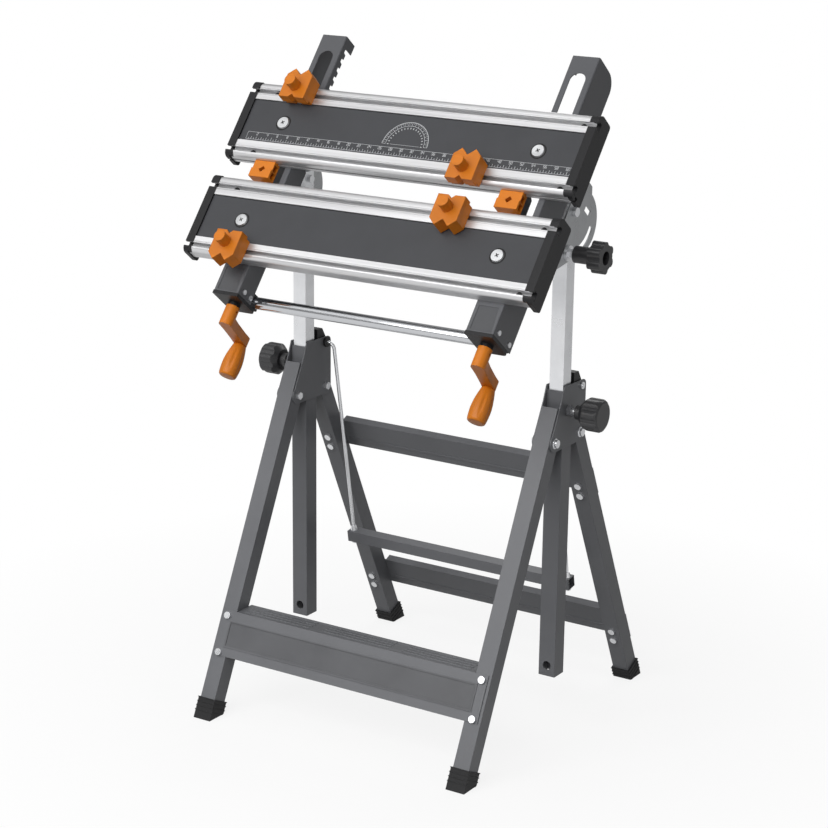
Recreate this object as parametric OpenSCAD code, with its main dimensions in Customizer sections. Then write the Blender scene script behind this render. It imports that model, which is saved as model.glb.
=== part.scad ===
// Folding workbench with a height-adjustable, tilting clamping table.
// Two trestle heads carry folding leg frames. Posts slide in the heads and carry the table.
// Origin: on the floor, midway between the posts. +X right, +Y back, +Z up, millimetres.

/* [Posts and sleeves] */
// Distance of a post's middle in from the end of the jaw bars
post_in = 66; // [47:1:82]
// Outer size of the square post tube
post_size = 25; // [22:0.5:28]
// Wall of the post tube
post_wall = 1.8; // [1.2:0.1:2.5]
// Length of a post
post_len = 633; // [590:1:636]
// Clearance between post and sleeve on each side
post_gap = 0.5; // [0.3:0.1:0.8]
// Wall of the sleeve tube
sleeve_wall = 2; // [1.5:0.1:3]
// Height of the sleeve's lower end above the floor
sleeve_bottom = 99; // [80:1:102]
// Height of the sleeve's upper end above the floor
sleeve_top = 589; // [580:1:592]
// Radius of the locking hole through the foot of a sleeve
sleeve_hole_r = 7.5; // [5:0.5:8]
// Height of the locking hole above the sleeve's lower end
sleeve_hole_rise = 18.4; // [14:0.2:24]

/* [Legs] */
// Depth of a leg tube, front to back
leg_depth = 30; // [26:1:32]
// Wall of a leg tube
leg_wall = 1.5; // [1.2:0.1:2.5]
// Angle of an open leg from upright, degrees
leg_angle = 25.2; // [22:0.2:28]
// Distance of the leg pivots below the sleeves' upper end
leg_pivot_drop = 79; // [70:1:88]
// Distance of each leg pivot from the post's centre plane
leg_pivot_y = 41.5; // [40:0.5:44]
// Length of a leg above its pivot
leg_head = 54; // [48:1:56]
// Wall of a rubber foot
foot_wall = 2.3; // [1.5:0.1:3.5]
// Thickness of a foot's sole
foot_sole = 4; // [3:0.5:6]
// Height of a foot along the leg's centre line
foot_height = 29; // [24:1:40]

/* [Head plates] */
// Thickness of a head plate
plate_t = 2; // [1.5:0.1:3]
// Radius of the leg pivot bolts
pivot_bolt_r = 4; // [3:0.5:5]
// Radius of the rounded lobe round a leg pivot
plate_lobe_r = 14.5; // [12:0.5:15]
// Distance of the height clamp knobs below the sleeves' upper end
height_knob_drop = 33.7; // [27:0.1:44]

/* [Step and crossbars] */
// Sheet thickness of step and crossbars
sheet_t = 1.6; // [1.2:0.1:2.5]
// Height of the step's top above the floor
step_top = 171; // [160:1:190]
// Height of the step's front plate
step_h = 78; // [70:1:90]
// Depth of the step's tread
step_depth = 42; // [36:1:50]
// Height of a rear crossbar's web
crossbar_h = 54; // [50:1:60]
// Depth of a rear crossbar's flanges
crossbar_lip = 14; // [10:1:18]
// Distance down the leg from pivot to the middle of the upper crossbar
crossbar_upper = 117.5; // [110:0.5:130]
// Distance up the leg from its lower end to the middle of the lower crossbar
crossbar_rise = 144.8; // [137:0.1:167]

/* [Foot bar] */
// Radius of the foot bar's rods
rod_r = 3; // [2.5:0.5:4]
// Distance of each rod from the bench's centre plane
rod_x = 218; // [200:1:220]
// Bend radius of a rod
rod_bend = 12; // [10:0.5:13]
// Outer size of the square foot bar
bar_size = 20; // [16:1:24]
// Wall of the foot bar
bar_wall = 1.5; // [1:0.1:2]
// Height of the foot bar's centre above the floor
bar_z = 221; // [210:1:240]
// Distance of the foot bar's centre behind the posts
bar_y = 108; // [100:1:112]
// Distance of the rod pivot below the sleeves' upper end
rod_pivot_drop = 1; // [0:0.5:3]

/* [Table place] */
// Height of the tilt pivot above the floor
tilt_pivot_z = 876; // [866:1:886]
// Tilt of the table as drawn, degrees from level
table_tilt = 51; // [45:0.5:55]
// Distance of the tilt pivot behind the front ridge, along the table
pivot_v = 217.4; // [216:0.1:219]
// Distance of the tilt pivot below the jaws' top plane
pivot_drop = 124.9; // [124:0.1:126]

/* [Rails] */
// Width of a table rail
rail_w = 49; // [46:1:52]
// Wall of a table rail
rail_t = 1.5; // [1.2:0.1:2]
// Distance of the right rail's middle in from the end of the jaw bars
rail_right_in = 70.7; // [69:0.1:77]
// Distance of the left rail's middle in from the end of the jaw bars
rail_left_in = 89; // [87:0.1:91]
// Reach of the rails in front of the front ridge
rail_front = 51; // [48:1:56]
// Reach of the rails behind the front ridge
rail_rear = 435; // [432:1:450]
// Height of a rail's outer flange
rail_outer_h = 64.5; // [62:0.5:65.5]
// Height of a rail's inner flange
rail_inner_h = 41; // [39:0.5:42]
// Width of the slot in a rail's top
rail_slot_w = 27; // [24:0.5:28]
// Pitch of the rack teeth on the inner flange
rack_pitch = 17.3; // [16:0.1:18]

/* [Jaws] */
// Width of the jaws without their end covers
jaw_w = 634; // [620:2:650]
// Thickness of the jaws
jaw_t = 24.7; // [24:0.1:26]
// Depth of the front jaw
front_jaw_d = 141; // [140:0.5:143]
// Gap between the two jaws
jaw_gap = 40; // [39:0.5:46]
// Depth of the rear jaw
rear_jaw_d = 140; // [139:0.5:142]
// Width of the T-slots' mouths
slot_mouth = 8; // [7:0.1:9]
// Width of the T-slots inside
slot_inner = 14; // [13:0.1:15]
// Thickness of the T-slots' lips
slot_lip = 3; // [2.5:0.1:3.5]
// Depth of the T-slots
slot_depth = 11; // [10:0.1:12]
// Depth of the panels below the jaws' top plane
panel_drop = 2; // [1:0.1:3]
// Thickness of the panels
panel_t = 12; // [10:0.5:13]
// Thickness of the end covers
cover_t = 8; // [6:0.5:10]

/* [Spindles and cranks] */
// Radius of a spindle
spindle_r = 5; // [4:0.5:6]
// Depth of the spindle axis below the jaws' top plane
spindle_drop = 58; // [57:0.5:59]
// Radius of the crank's swing
crank_throw = 74; // [66:1:80]
// Radius of the crank's hub
crank_hub_r = 11.5; // [10.5:0.5:13]
// Angle of the hanging crank arms from square to the table, degrees
crank_lean = 10.6; // [0:0.2:20]
// Thickness of the crank arm
crank_arm_t = 16; // [12:0.5:18]
// Length of a crank grip
grip_len = 58; // [50:1:66]

/* [Knobs] */
// Radius of a tilt knob's lobed head
tilt_knob_r = 25.5; // [22:0.5:28]
// Radius of a height knob's head
height_knob_r = 27.5; // [24:0.5:30]
// Radius of the tilt clamp bolts
clamp_bolt_r = 4; // [3:0.5:4.5]

/* [Dogs and V-blocks] */
// Width of a bench dog along its slot
dog_w = 49; // [44:1:52]
// Length of a bench dog's straight sides
dog_side = 42; // [38:1:42]
// Height of a bench dog's body
dog_h = 27.5; // [24:0.5:30]
// Radius of the peg on a bench dog
dog_peg_r = 9.8; // [8:0.2:11]
// Height of the peg on a bench dog
dog_peg_h = 20; // [14:1:24]
// Width of a V-block along its slot
vblock_w = 40; // [36:1:44]
// Depth of a V-block out of the rear jaw's face
vblock_d = 31; // [28:0.5:31]

/* [Hidden] */
$fn = 48;

// Clearances and overruns
run_fit = 0.05;
slide_gap = 0.3;
seat_gap = 0.1;
over = 1;
far = 1000;

// Worked-out sizes of the trestle
post_x = jaw_w / 2 - post_in;
rail_right_x = jaw_w / 2 - rail_right_in;
rail_left_x = jaw_w / 2 - rail_left_in;
sleeve_size = post_size + 2 * (post_gap + sleeve_wall);
leg_w = sleeve_size - 2 * slide_gap;
post_face = post_x + post_size / 2;
plate_in = post_x - sleeve_size / 2;
plate_out = post_x + sleeve_size / 2;
leg_pivot_z = sleeve_top - leg_pivot_drop;
height_knob_z = sleeve_top - height_knob_drop;
rod_pivot_z = sleeve_top - rod_pivot_drop;
height_screw_r = 5;
head_h = 5.5;
head_r = pivot_bolt_r * 1.7;
pivot_washer_t = 1;

// Colours
powder = [0.27, 0.27, 0.28];
zinc = [0.72, 0.73, 0.75];
black = [0.1, 0.1, 0.1];
orange = [0.78, 0.43, 0.13];
alloy = [0.86, 0.86, 0.87];
panel_grey = [0.33, 0.33, 0.34];
chrome = [0.9, 0.9, 0.92];

// Shared helpers
module both_sides() {
  for (side = [-1, 1]) scale_side(side) children();
}

// Draws a right-hand piece, or its mirror image on the left
module scale_side(side) {
  mirror([side < 0 ? 1 : 0, 0, 0]) children();
}

// Cylinder along X from x0 to x1
module rod_x_axis(x0, x1, r) {
  translate([x0, 0, 0]) rotate([0, 90, 0]) cylinder(h = x1 - x0, r = r);
}

// Extrudes a Y-Z outline along X
module along_x(x0, x1) {
  translate([x0, 0, 0]) rotate([90, 0, 90]) linear_extrude(x1 - x0) children();
}

// Extrudes an X-Z outline along Y
module along_y(y0, y1) {
  translate([0, y1, 0]) rotate([90, 0, 0]) linear_extrude(y1 - y0) children();
}

// Hexagonal prism along X
module hex_x(x0, x1, r) {
  translate([x0, 0, 0]) rotate([0, 90, 0]) cylinder(h = x1 - x0, r = r, $fn = 6);
}

// Rectangle from two corners
module rect(x0, y0, x1, y1) {
  translate([x0, y0]) square([x1 - x0, y1 - y0]);
}

// Puts table pieces, drawn flat from the front ridge, at the pivot and tilt of the table
module on_table() {
  translate([0, 0, tilt_pivot_z]) rotate([table_tilt, 0, 0]) translate([0, -pivot_v, pivot_drop])
    children();
}

// Puts leg pieces, drawn hanging straight down from the pivot, at the open leg angle
module on_leg(rear) {
  translate([0, rear * leg_pivot_y, leg_pivot_z]) rotate([rear * leg_angle, 0, 0]) children();
}

// Sleeves and head plates
boss_hole_r = height_screw_r + run_fit;

module sleeves() {
  color(powder) both_sides() difference() {
    translate([plate_in, -sleeve_size / 2, sleeve_bottom])
      cube([sleeve_size, sleeve_size, sleeve_top - sleeve_bottom]);
    translate([plate_in + sleeve_wall, -sleeve_size / 2 + sleeve_wall, sleeve_bottom - over])
      cube([sleeve_size - 2 * sleeve_wall, sleeve_size - 2 * sleeve_wall,
        sleeve_top - sleeve_bottom + 2 * over]);
    translate([post_x, sleeve_size / 2 + over, sleeve_bottom + sleeve_hole_rise])
      rotate([90, 0, 0]) cylinder(h = sleeve_size + 2 * over, r = sleeve_hole_r);
    translate([0, 0, height_knob_z]) rod_x_axis(post_x, plate_out + over, boss_hole_r);
  }
}

// Outline of a head plate: shoulders round the post and a lobe at each leg pivot
plate_rise = 8;
plate_top = sleeve_top + plate_rise;
plate_rear = leg_pivot_y + plate_lobe_r;
plate_shoulder_r = 9;

module head_plate_outline() {
  difference() {
    union() {
      polygon([[-sleeve_size / 2, plate_top], [sleeve_size / 2 + plate_shoulder_r, plate_top],
        [plate_rear - plate_shoulder_r, plate_top],
        [plate_rear, plate_top - plate_shoulder_r], [plate_rear, leg_pivot_z],
        [leg_pivot_y, leg_pivot_z - plate_lobe_r], [-leg_pivot_y, leg_pivot_z - plate_lobe_r],
        [-leg_pivot_y - plate_lobe_r, leg_pivot_z],
        [-sleeve_size / 2 - plate_shoulder_r, leg_pivot_z + leg_head + plate_shoulder_r]]);
      translate([plate_rear - plate_shoulder_r, plate_top - plate_shoulder_r])
        circle(r = plate_shoulder_r);
      translate([leg_pivot_y, leg_pivot_z]) circle(r = plate_lobe_r);
      translate([-leg_pivot_y, leg_pivot_z]) circle(r = plate_lobe_r);
    }
    for (s = [-1, 1]) translate([s * leg_pivot_y, leg_pivot_z]) circle(r = pivot_bolt_r + run_fit);
    translate([leg_pivot_y, rod_pivot_z]) circle(r = rod_r + run_fit);
  }
}

module head_plates() {
  color(powder) both_sides() {
    along_x(plate_in - plate_t, plate_in) head_plate_outline();
    difference() {
      along_x(plate_out, plate_out + plate_t) head_plate_outline();
      translate([0, 0, height_knob_z])
        rod_x_axis(plate_out - over, plate_out + plate_t + over, boss_hole_r);
    }
  }
}

// Bolt with a domed head outside and a nut inside, at each leg pivot
module leg_pivot_bolts() {
  color(zinc) both_sides() for (s = [-1, 1]) translate([0, s * leg_pivot_y, leg_pivot_z]) {
    rod_x_axis(plate_in - plate_t - head_h, plate_out + plate_t + pivot_washer_t, pivot_bolt_r);
    hex_x(plate_in - plate_t - head_h, plate_in - plate_t, head_r);
    rod_x_axis(plate_out + plate_t, plate_out + plate_t + pivot_washer_t, head_r * 1.25);
    rod_x_axis(plate_out + plate_t + pivot_washer_t, plate_out + plate_t + head_h, head_r);
  }
}

// Threaded bush that each height clamp screw turns in
knob_nut_len = 7;
knob_nut_r = 9.5;

module knob_nuts() {
  color(powder) both_sides() translate([0, 0, height_knob_z]) difference() {
    hex_x(plate_out + plate_t, plate_out + plate_t + knob_nut_len, knob_nut_r);
    rod_x_axis(plate_out, plate_out + plate_t + knob_nut_len + over, boss_hole_r);
  }
}

// Leg frames
leg_len = (leg_pivot_z + leg_depth) / cos(leg_angle);

// One leg tube, cut flat inside its foot and upright where it stops against the sleeve
module leg(rear) {
  difference() {
    on_leg(rear) difference() {
      translate([post_x - leg_w / 2, -leg_depth / 2, -leg_len])
        cube([leg_w, leg_depth, leg_len + leg_head]);
      translate([post_x - leg_w / 2 + leg_wall, -leg_depth / 2 + leg_wall, -leg_len - over])
        cube([leg_w - 2 * leg_wall, leg_depth - 2 * leg_wall, leg_len + leg_head + 2 * over]);
      rod_x_axis(post_x - leg_w, post_x + leg_w, pivot_bolt_r + run_fit);
    }
    translate([0, -far / 2, foot_sole - far]) cube([far, far, far]);
    translate([0, rear > 0 ? sleeve_size / 2 + slide_gap - far : -sleeve_size / 2 - slide_gap,
      leg_pivot_z]) cube([far, far, far]);
  }
}

// Foot: a socket round the leg's end, flat on the floor
foot_grip_rib = 0.8;
foot_rib_count = 4;

module foot(rear) {
  foot_in_w = leg_w / 2 + seat_gap;
  foot_in_d = leg_depth / 2 + seat_gap;
  floor_down = leg_pivot_z / cos(leg_angle);
  difference() {
    on_leg(rear) union() {
      translate([post_x - foot_in_w - foot_wall, -foot_in_d - foot_wall, -leg_len])
        cube([2 * (foot_in_w + foot_wall), 2 * (foot_in_d + foot_wall),
          leg_len - floor_down + foot_height]);
      for (i = [1:foot_rib_count])
        translate([post_x - foot_in_w - foot_wall - foot_grip_rib,
          -foot_in_d - foot_wall - foot_grip_rib,
          -floor_down + foot_height * i / foot_rib_count - 2 * foot_grip_rib])
          cube([2 * (foot_in_w + foot_wall + foot_grip_rib),
            2 * (foot_in_d + foot_wall + foot_grip_rib), 2 * foot_grip_rib]);
    }
    translate([0, -far / 2, -far]) cube([far, far, far]);
    intersection() {
      on_leg(rear) translate([post_x - foot_in_w, -foot_in_d, -leg_len])
        cube([2 * foot_in_w, 2 * foot_in_d, leg_len]);
      translate([0, -far / 2, foot_sole]) cube([far, far, far]);
    }
  }
}

// Bolts through a leg, front to back
bolt_r = 3;
bolt_head_r = 6;
bolt_head_h = 4;
step_bolt_inset = 9;
crossbar_bolt_gap = 21;

module bolt_through_leg(front_y, rear_y) {
  translate([post_x, 0, 0]) rotate([90, 0, 0]) {
    translate([0, 0, -rear_y - bolt_head_h]) cylinder(h = rear_y - front_y + 2 * bolt_head_h, r = bolt_r);
    translate([0, 0, -rear_y - bolt_head_h]) cylinder(h = bolt_head_h, r = bolt_head_r, $fn = 6);
    translate([0, 0, -front_y]) cylinder(h = bolt_head_h, r = bolt_head_r);
  }
}

module bolt_hole_in_leg() {
  translate([post_x, leg_depth, 0]) rotate([90, 0, 0])
    cylinder(h = 2 * leg_depth, r = bolt_r + run_fit);
}

// Distances down the front leg to the step's top and bottom edges
step_high = (leg_pivot_z + (leg_depth / 2 + sheet_t) * sin(leg_angle) - step_top) / cos(leg_angle);
step_low = step_high + step_h;
step_bolt_downs = [step_high + step_bolt_inset, step_low - step_bolt_inset * 0.6];
crossbar_lower = leg_len - crossbar_rise;
crossbar_downs = [crossbar_upper, crossbar_lower];

module front_legs() {
  color(powder) both_sides() difference() {
    leg(-1);
    on_leg(-1) for (down = step_bolt_downs) translate([0, 0, -down]) bolt_hole_in_leg();
  }
}

module front_feet() {
  color(black) both_sides() foot(-1);
}

module step_bolts() {
  color(zinc) both_sides() on_leg(-1) for (down = step_bolt_downs) translate([0, 0, -down])
    bolt_through_leg(-leg_depth / 2 - sheet_t, leg_depth / 2);
}

// Step: a front plate bolted on the legs and a ribbed tread bent back between them
step_overhang = 9.5;
step_half = post_x + step_overhang;
tread_half = plate_in - slide_gap;
tread_lip = 16;
bead_w = 4;
bead_h = 1;
bead_inset = 15.5;
tread_rib_groups = 3;
tread_ribs = 4;
tread_rib_w = 2.4;
tread_margin_share = 0.08;
tread_front_y = -leg_pivot_y - (leg_pivot_z - step_top) * tan(leg_angle)
  - (leg_depth / 2 + sheet_t) / cos(leg_angle);

module step_panel() {
  group_w = 2 * tread_half / tread_rib_groups;
  color(powder) {
    difference() {
      on_leg(-1) {
        translate([-step_half, -leg_depth / 2 - sheet_t, -step_low]) cube([2 * step_half, sheet_t, step_h]);
        difference() {
          translate([-step_half + bead_inset, -leg_depth / 2 - sheet_t - bead_h, -step_low + bead_inset])
            cube([2 * (step_half - bead_inset), bead_h + sheet_t / 2, step_h - 2 * bead_inset]);
          translate([-step_half + bead_inset + bead_w, -leg_depth, -step_low + bead_inset + bead_w])
            cube([2 * (step_half - bead_inset - bead_w), leg_depth, step_h - 2 * (bead_inset + bead_w)]);
        }
      }
      both_sides() on_leg(-1) for (down = step_bolt_downs) translate([0, 0, -down]) bolt_hole_in_leg();
    }
    translate([-tread_half, tread_front_y, step_top - sheet_t]) cube([2 * tread_half, step_depth, sheet_t]);
    translate([-tread_half, tread_front_y + step_depth - sheet_t, step_top - tread_lip])
      cube([2 * tread_half, sheet_t, tread_lip]);
    for (g = [0:tread_rib_groups - 1], k = [0:tread_ribs - 1])
      translate([-tread_half + group_w * (g + tread_margin_share),
        tread_front_y + step_depth * (k + 1) / (tread_ribs + 1) - tread_rib_w / 2,
        step_top - sheet_t / 2])
        cube([group_w * (1 - 2 * tread_margin_share), tread_rib_w, sheet_t / 2 + bead_h]);
  }
}

module rear_legs() {
  color(powder) both_sides() difference() {
    leg(1);
    on_leg(1) for (down = crossbar_downs, s = [-1, 1])
      translate([0, 0, -down + s * crossbar_bolt_gap / 2]) bolt_hole_in_leg();
  }
}

module rear_feet() {
  color(black) both_sides() foot(1);
}

module crossbar_bolts() {
  color(zinc) both_sides() on_leg(1) for (down = crossbar_downs, s = [-1, 1])
    translate([0, 0, -down + s * crossbar_bolt_gap / 2])
      bolt_through_leg(-leg_depth / 2, leg_depth / 2 + sheet_t);
}

// Pressed channel across the rear faces of the rear legs
module crossbar(down) {
  half = post_x + leg_w / 2;
  flange_half = plate_in - over;
  color(powder) difference() {
    on_leg(1) translate([0, leg_depth / 2, -down]) {
      translate([-half, 0, -crossbar_h / 2]) cube([2 * half, sheet_t, crossbar_h]);
      for (z0 = [-crossbar_h / 2, crossbar_h / 2 - sheet_t])
        translate([-flange_half, 0, z0]) cube([2 * flange_half, crossbar_lip, sheet_t]);
      translate([-half + leg_w + bead_w, -bead_h, -crossbar_h / 4])
        cube([2 * (half - leg_w - bead_w), bead_h + sheet_t / 2, bead_w]);
    }
    both_sides() on_leg(1) for (s = [-1, 1])
      translate([0, 0, -down + s * crossbar_bolt_gap / 2]) bolt_hole_in_leg();
  }
}

module upper_crossbar() {
  crossbar(crossbar_upper);
}

module lower_crossbar() {
  crossbar(crossbar_lower);
}

// Foot bar: two bent rods that turn in the head plates and carry a square bar
rod_lean = atan2(bar_y - leg_pivot_y, rod_pivot_z - bar_z);
rod_len = sqrt(pow(bar_y - leg_pivot_y, 2) + pow(rod_pivot_z - bar_z, 2));
rod_end_reach = 4;
rod_end_x = plate_out + plate_t + rod_end_reach;
collar_r = 6.5;
collar_h = 9;
rod_nut_r = 5.8;
rod_nut_h = 5;
bar_reach = 8;
bar_half = rod_x + bar_reach;

module at_rod_pivot() {
  translate([0, leg_pivot_y, rod_pivot_z]) rotate([rod_lean, 0, 0]) children();
}

module foot_bar_rods() {
  color(zinc) both_sides() at_rod_pivot() {
    rod_x_axis(rod_x + rod_bend, rod_end_x, rod_r);
    translate([rod_x + rod_bend, 0, -rod_bend]) rotate([90, 0, 0])
      rotate([0, 0, 90]) rotate_extrude(angle = 90) translate([rod_bend, 0]) circle(r = rod_r, $fn = 32);
    translate([rod_x, 0, -rod_len - bar_size / 2 - rod_nut_h - over])
      cylinder(h = rod_len + bar_size / 2 + rod_nut_h + over - rod_bend, r = rod_r);
  }
}

module foot_bar() {
  color(powder) at_rod_pivot() translate([0, 0, -rod_len]) difference() {
    translate([-bar_half, -bar_size / 2, -bar_size / 2]) cube([2 * bar_half, bar_size, bar_size]);
    translate([-bar_half - over, -bar_size / 2 + bar_wall, -bar_size / 2 + bar_wall])
      cube([2 * (bar_half + over), bar_size - 2 * bar_wall, bar_size - 2 * bar_wall]);
    for (s = [-1, 1]) translate([s * rod_x, 0, -bar_size]) cylinder(h = 2 * bar_size, r = rod_r + run_fit);
  }
}

// Flared collar above the bar and nut below it on each rod, and the nut outside the head plate
module foot_bar_fittings() {
  color(zinc) both_sides() at_rod_pivot() {
    translate([rod_x, 0, -rod_len + bar_size / 2]) difference() {
      cylinder(h = collar_h, r1 = collar_r, r2 = rod_r + bar_wall);
      translate([0, 0, -over]) cylinder(h = collar_h + 2 * over, r = rod_r + run_fit);
    }
    translate([rod_x, 0, -rod_len - bar_size / 2 - rod_nut_h]) difference() {
      cylinder(h = rod_nut_h, r = rod_nut_r, $fn = 6);
      translate([0, 0, -over]) cylinder(h = rod_nut_h + 2 * over, r = rod_r + run_fit);
    }
    difference() {
      rod_x_axis(plate_out + plate_t + slide_gap, rod_end_x - over, rod_nut_r);
      rod_x_axis(plate_out, rod_end_x, rod_r + run_fit);
    }
  }
}

// Latch lug on each rod, between the head plates behind the post
lug_boss_r = 8;
lug_reach = 22;
lug_rise = 25;
lug_w = sleeve_size - 4 * slide_gap;
rod_bush_r = 9;

module latch_lugs() {
  color(black) both_sides() translate([0, leg_pivot_y, rod_pivot_z]) difference() {
    union() {
      rod_x_axis(rod_x + rod_bend, plate_in - plate_t - slide_gap, rod_bush_r);
      along_x(post_x - lug_w / 2, post_x + lug_w / 2) {
        circle(r = lug_boss_r);
        polygon([[0, -lug_boss_r], [-lug_reach, lug_boss_r], [-lug_reach, lug_rise],
          [-lug_reach / 3, lug_rise], [lug_boss_r, 0]]);
      }
    }
    rod_x_axis(rod_x, post_x + lug_w, rod_r + run_fit);
  }
}

// Posts and what is fixed to them
pivot_over = 12;
post_top = tilt_pivot_z + pivot_over;
leaf_gap = 0.5;
leaf_t = 2.5;
leaf_in = post_face + leaf_gap;
leaf_out = leaf_in + leaf_t;
clamp_y = -19;
clamp_drop = 62;
lug_size = 22;
lug_depth = 15.5;

module posts() {
  color(zinc) both_sides() difference() {
    translate([post_x - post_size / 2, -post_size / 2, post_top - post_len])
      cube([post_size, post_size, post_len]);
    translate([post_x - post_size / 2 + post_wall, -post_size / 2 + post_wall, post_top - post_len - over])
      cube([post_size - 2 * post_wall, post_size - 2 * post_wall, post_len + 2 * over]);
    translate([0, 0, tilt_pivot_z]) rod_x_axis(post_x - post_size, post_x + post_size,
      pivot_bolt_r + run_fit);
  }
}

// Block on the front of each post that holds the tilt clamp bolt
module clamp_lugs() {
  color(powder) both_sides() difference() {
    translate([post_x - post_size / 2, -post_size / 2 - lug_depth, tilt_pivot_z - clamp_drop - lug_size / 2])
      cube([post_size, lug_depth, lug_size]);
    translate([0, clamp_y, tilt_pivot_z - clamp_drop])
      rod_x_axis(post_x - post_size, post_x + post_size, clamp_bolt_r + run_fit);
  }
}

module tilt_pivot_bolts() {
  color(zinc) both_sides() translate([0, 0, tilt_pivot_z]) {
    rod_x_axis(post_x - post_size / 2 - head_h, leaf_out + slide_gap + head_h, pivot_bolt_r);
    hex_x(post_x - post_size / 2 - head_h, post_x - post_size / 2, head_r);
    rod_x_axis(leaf_out + slide_gap, leaf_out + slide_gap + head_h, head_r * 1.1);
  }
}

// Clamp bolt with the large washer and the nut outside the leaf
washer_r = 12.5;
washer_t = 5;
clamp_nut_t = 7;
clamp_nut_r = 7.5;
tilt_knob_stand = 3;
tilt_hub_x = leaf_out + slide_gap + washer_t + clamp_nut_t + tilt_knob_stand;
tilt_hub_len = 31;
tilt_head_t = 22;
clamp_bolt_end = tilt_hub_x + tilt_hub_len;

module tilt_clamp_bolts() {
  color(zinc) both_sides() translate([0, clamp_y, tilt_pivot_z - clamp_drop]) {
    rod_x_axis(post_x - post_size / 2 - head_h, clamp_bolt_end, clamp_bolt_r);
    hex_x(post_x - post_size / 2 - head_h, post_x - post_size / 2, head_r);
    rod_x_axis(leaf_out + slide_gap, leaf_out + slide_gap + washer_t, washer_r);
    hex_x(leaf_out + slide_gap + washer_t, leaf_out + slide_gap + washer_t + clamp_nut_t, clamp_nut_r);
  }
}

// Lobed outline of a knob's head
module lobed_outline(r, lobes, lobe_r, root_r) {
  circle(r = root_r);
  for (i = [0:lobes - 1]) rotate(360 * i / lobes) translate([r - lobe_r, 0]) circle(r = lobe_r, $fn = 32);
}

// Tilt knob: a long hub and a lobed head with a hollow middle
tilt_hub_r = 13.5;
tilt_hollow_r = 11;
tilt_hollow_depth = 15;
knob_lobes = 6;
tilt_lobe_r = 7.5;
tilt_root_share = 0.82;

module tilt_knob(side) {
  color(black) scale_side(side) translate([tilt_hub_x, clamp_y, tilt_pivot_z - clamp_drop])
    rotate([0, 90, 0]) difference() {
      union() {
        cylinder(h = tilt_hub_len + over, r = tilt_hub_r);
        translate([0, 0, tilt_hub_len])
          linear_extrude(tilt_head_t) lobed_outline(tilt_knob_r, knob_lobes, tilt_lobe_r, tilt_knob_r * tilt_root_share);
      }
      translate([0, 0, -over]) cylinder(h = tilt_hub_len + 2 * over, r = clamp_bolt_r + run_fit);
      translate([0, 0, tilt_hub_len + tilt_head_t - tilt_hollow_depth])
        cylinder(h = tilt_hollow_depth + over, r = tilt_hollow_r);
    }
}

// Height knob: a closed domed head on a short hub, with the screw that presses on the post
height_knob_stand = 9;
height_lobe_r = 9;
height_root_share = 0.88;
height_hub_x = plate_out + plate_t + knob_nut_len + height_knob_stand;
height_hub_len = 11;
height_hub_r = 12;
height_head_t = 36;
height_dome = 6;
height_screw_end = height_hub_x + height_hub_len;

module height_knob(side) {
  color(black) scale_side(side) translate([height_hub_x, 0, height_knob_z])
    rotate([0, 90, 0]) difference() {
      union() {
        cylinder(h = height_hub_len + over, r = height_hub_r);
        translate([0, 0, height_hub_len]) intersection() {
          linear_extrude(height_head_t)
            lobed_outline(height_knob_r, knob_lobes + 1, height_lobe_r, height_knob_r * height_root_share);
          rotate_extrude($fn = 64) polygon([[0, 0], [height_knob_r - height_dome * 1.6, 0],
            [height_knob_r, height_dome * 1.6], [height_knob_r, height_head_t - height_dome],
            [height_knob_r - height_dome / 3, height_head_t - height_dome / 3],
            [height_knob_r - height_dome, height_head_t], [0, height_head_t]]);
        }
      }
      translate([0, 0, -over]) cylinder(h = height_hub_len + over, r = height_screw_r + seat_gap);
    }
}

module height_screw(side) {
  color(zinc) scale_side(side) translate([0, 0, height_knob_z])
    rod_x_axis(post_face + slide_gap, height_screw_end, height_screw_r);
}

module height_knob_left() { height_knob(-1); }
module height_knob_right() { height_knob(1); }
module height_screw_left() { height_screw(-1); }
module height_screw_right() { height_screw(1); }
module tilt_knob_left() { tilt_knob(-1); }
module tilt_knob_right() { tilt_knob(1); }

// Table rails. Drawn for the right rail, with x outward from the rail's centre
rail_top_n = -jaw_t - slide_gap;
rail_corner_r = 25;
rail_fold_r = 2.5;
// The front jaw's screws stand midway between its two bars, and the rails' slots let it run this far out
front_bar_d = 26.5;
front_rear_bar_d = 36;
front_coach_v = (front_bar_d + front_jaw_d - front_rear_bar_d) / 2;
jaw_run_out = 50;
slot_play = 2;
saddle_w = rail_slot_w - slot_play;
slot_front_v = front_coach_v - jaw_run_out - saddle_w / 2 - slot_play;
slot_rear_in = 30;
rack_end_in = 18;
rack_len = 221;
slot_rear_v = rail_rear - slot_rear_in;
rack_end_v = rail_rear - rack_end_in;
rack_start_v = rack_end_v - rack_len;
rack_root_h = 10;
rack_tip_h = 15.7;
rack_tooth_share = 0.45;
hook_h = 29;
recess_margin = 7;
recess_depth = 0.6;
recess_len = 40;
half_w = rail_w / 2;

module at_rail(side) {
  on_table() translate([side > 0 ? rail_right_x : -rail_left_x, 0, 0]) scale_side(side) children();
}

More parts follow.
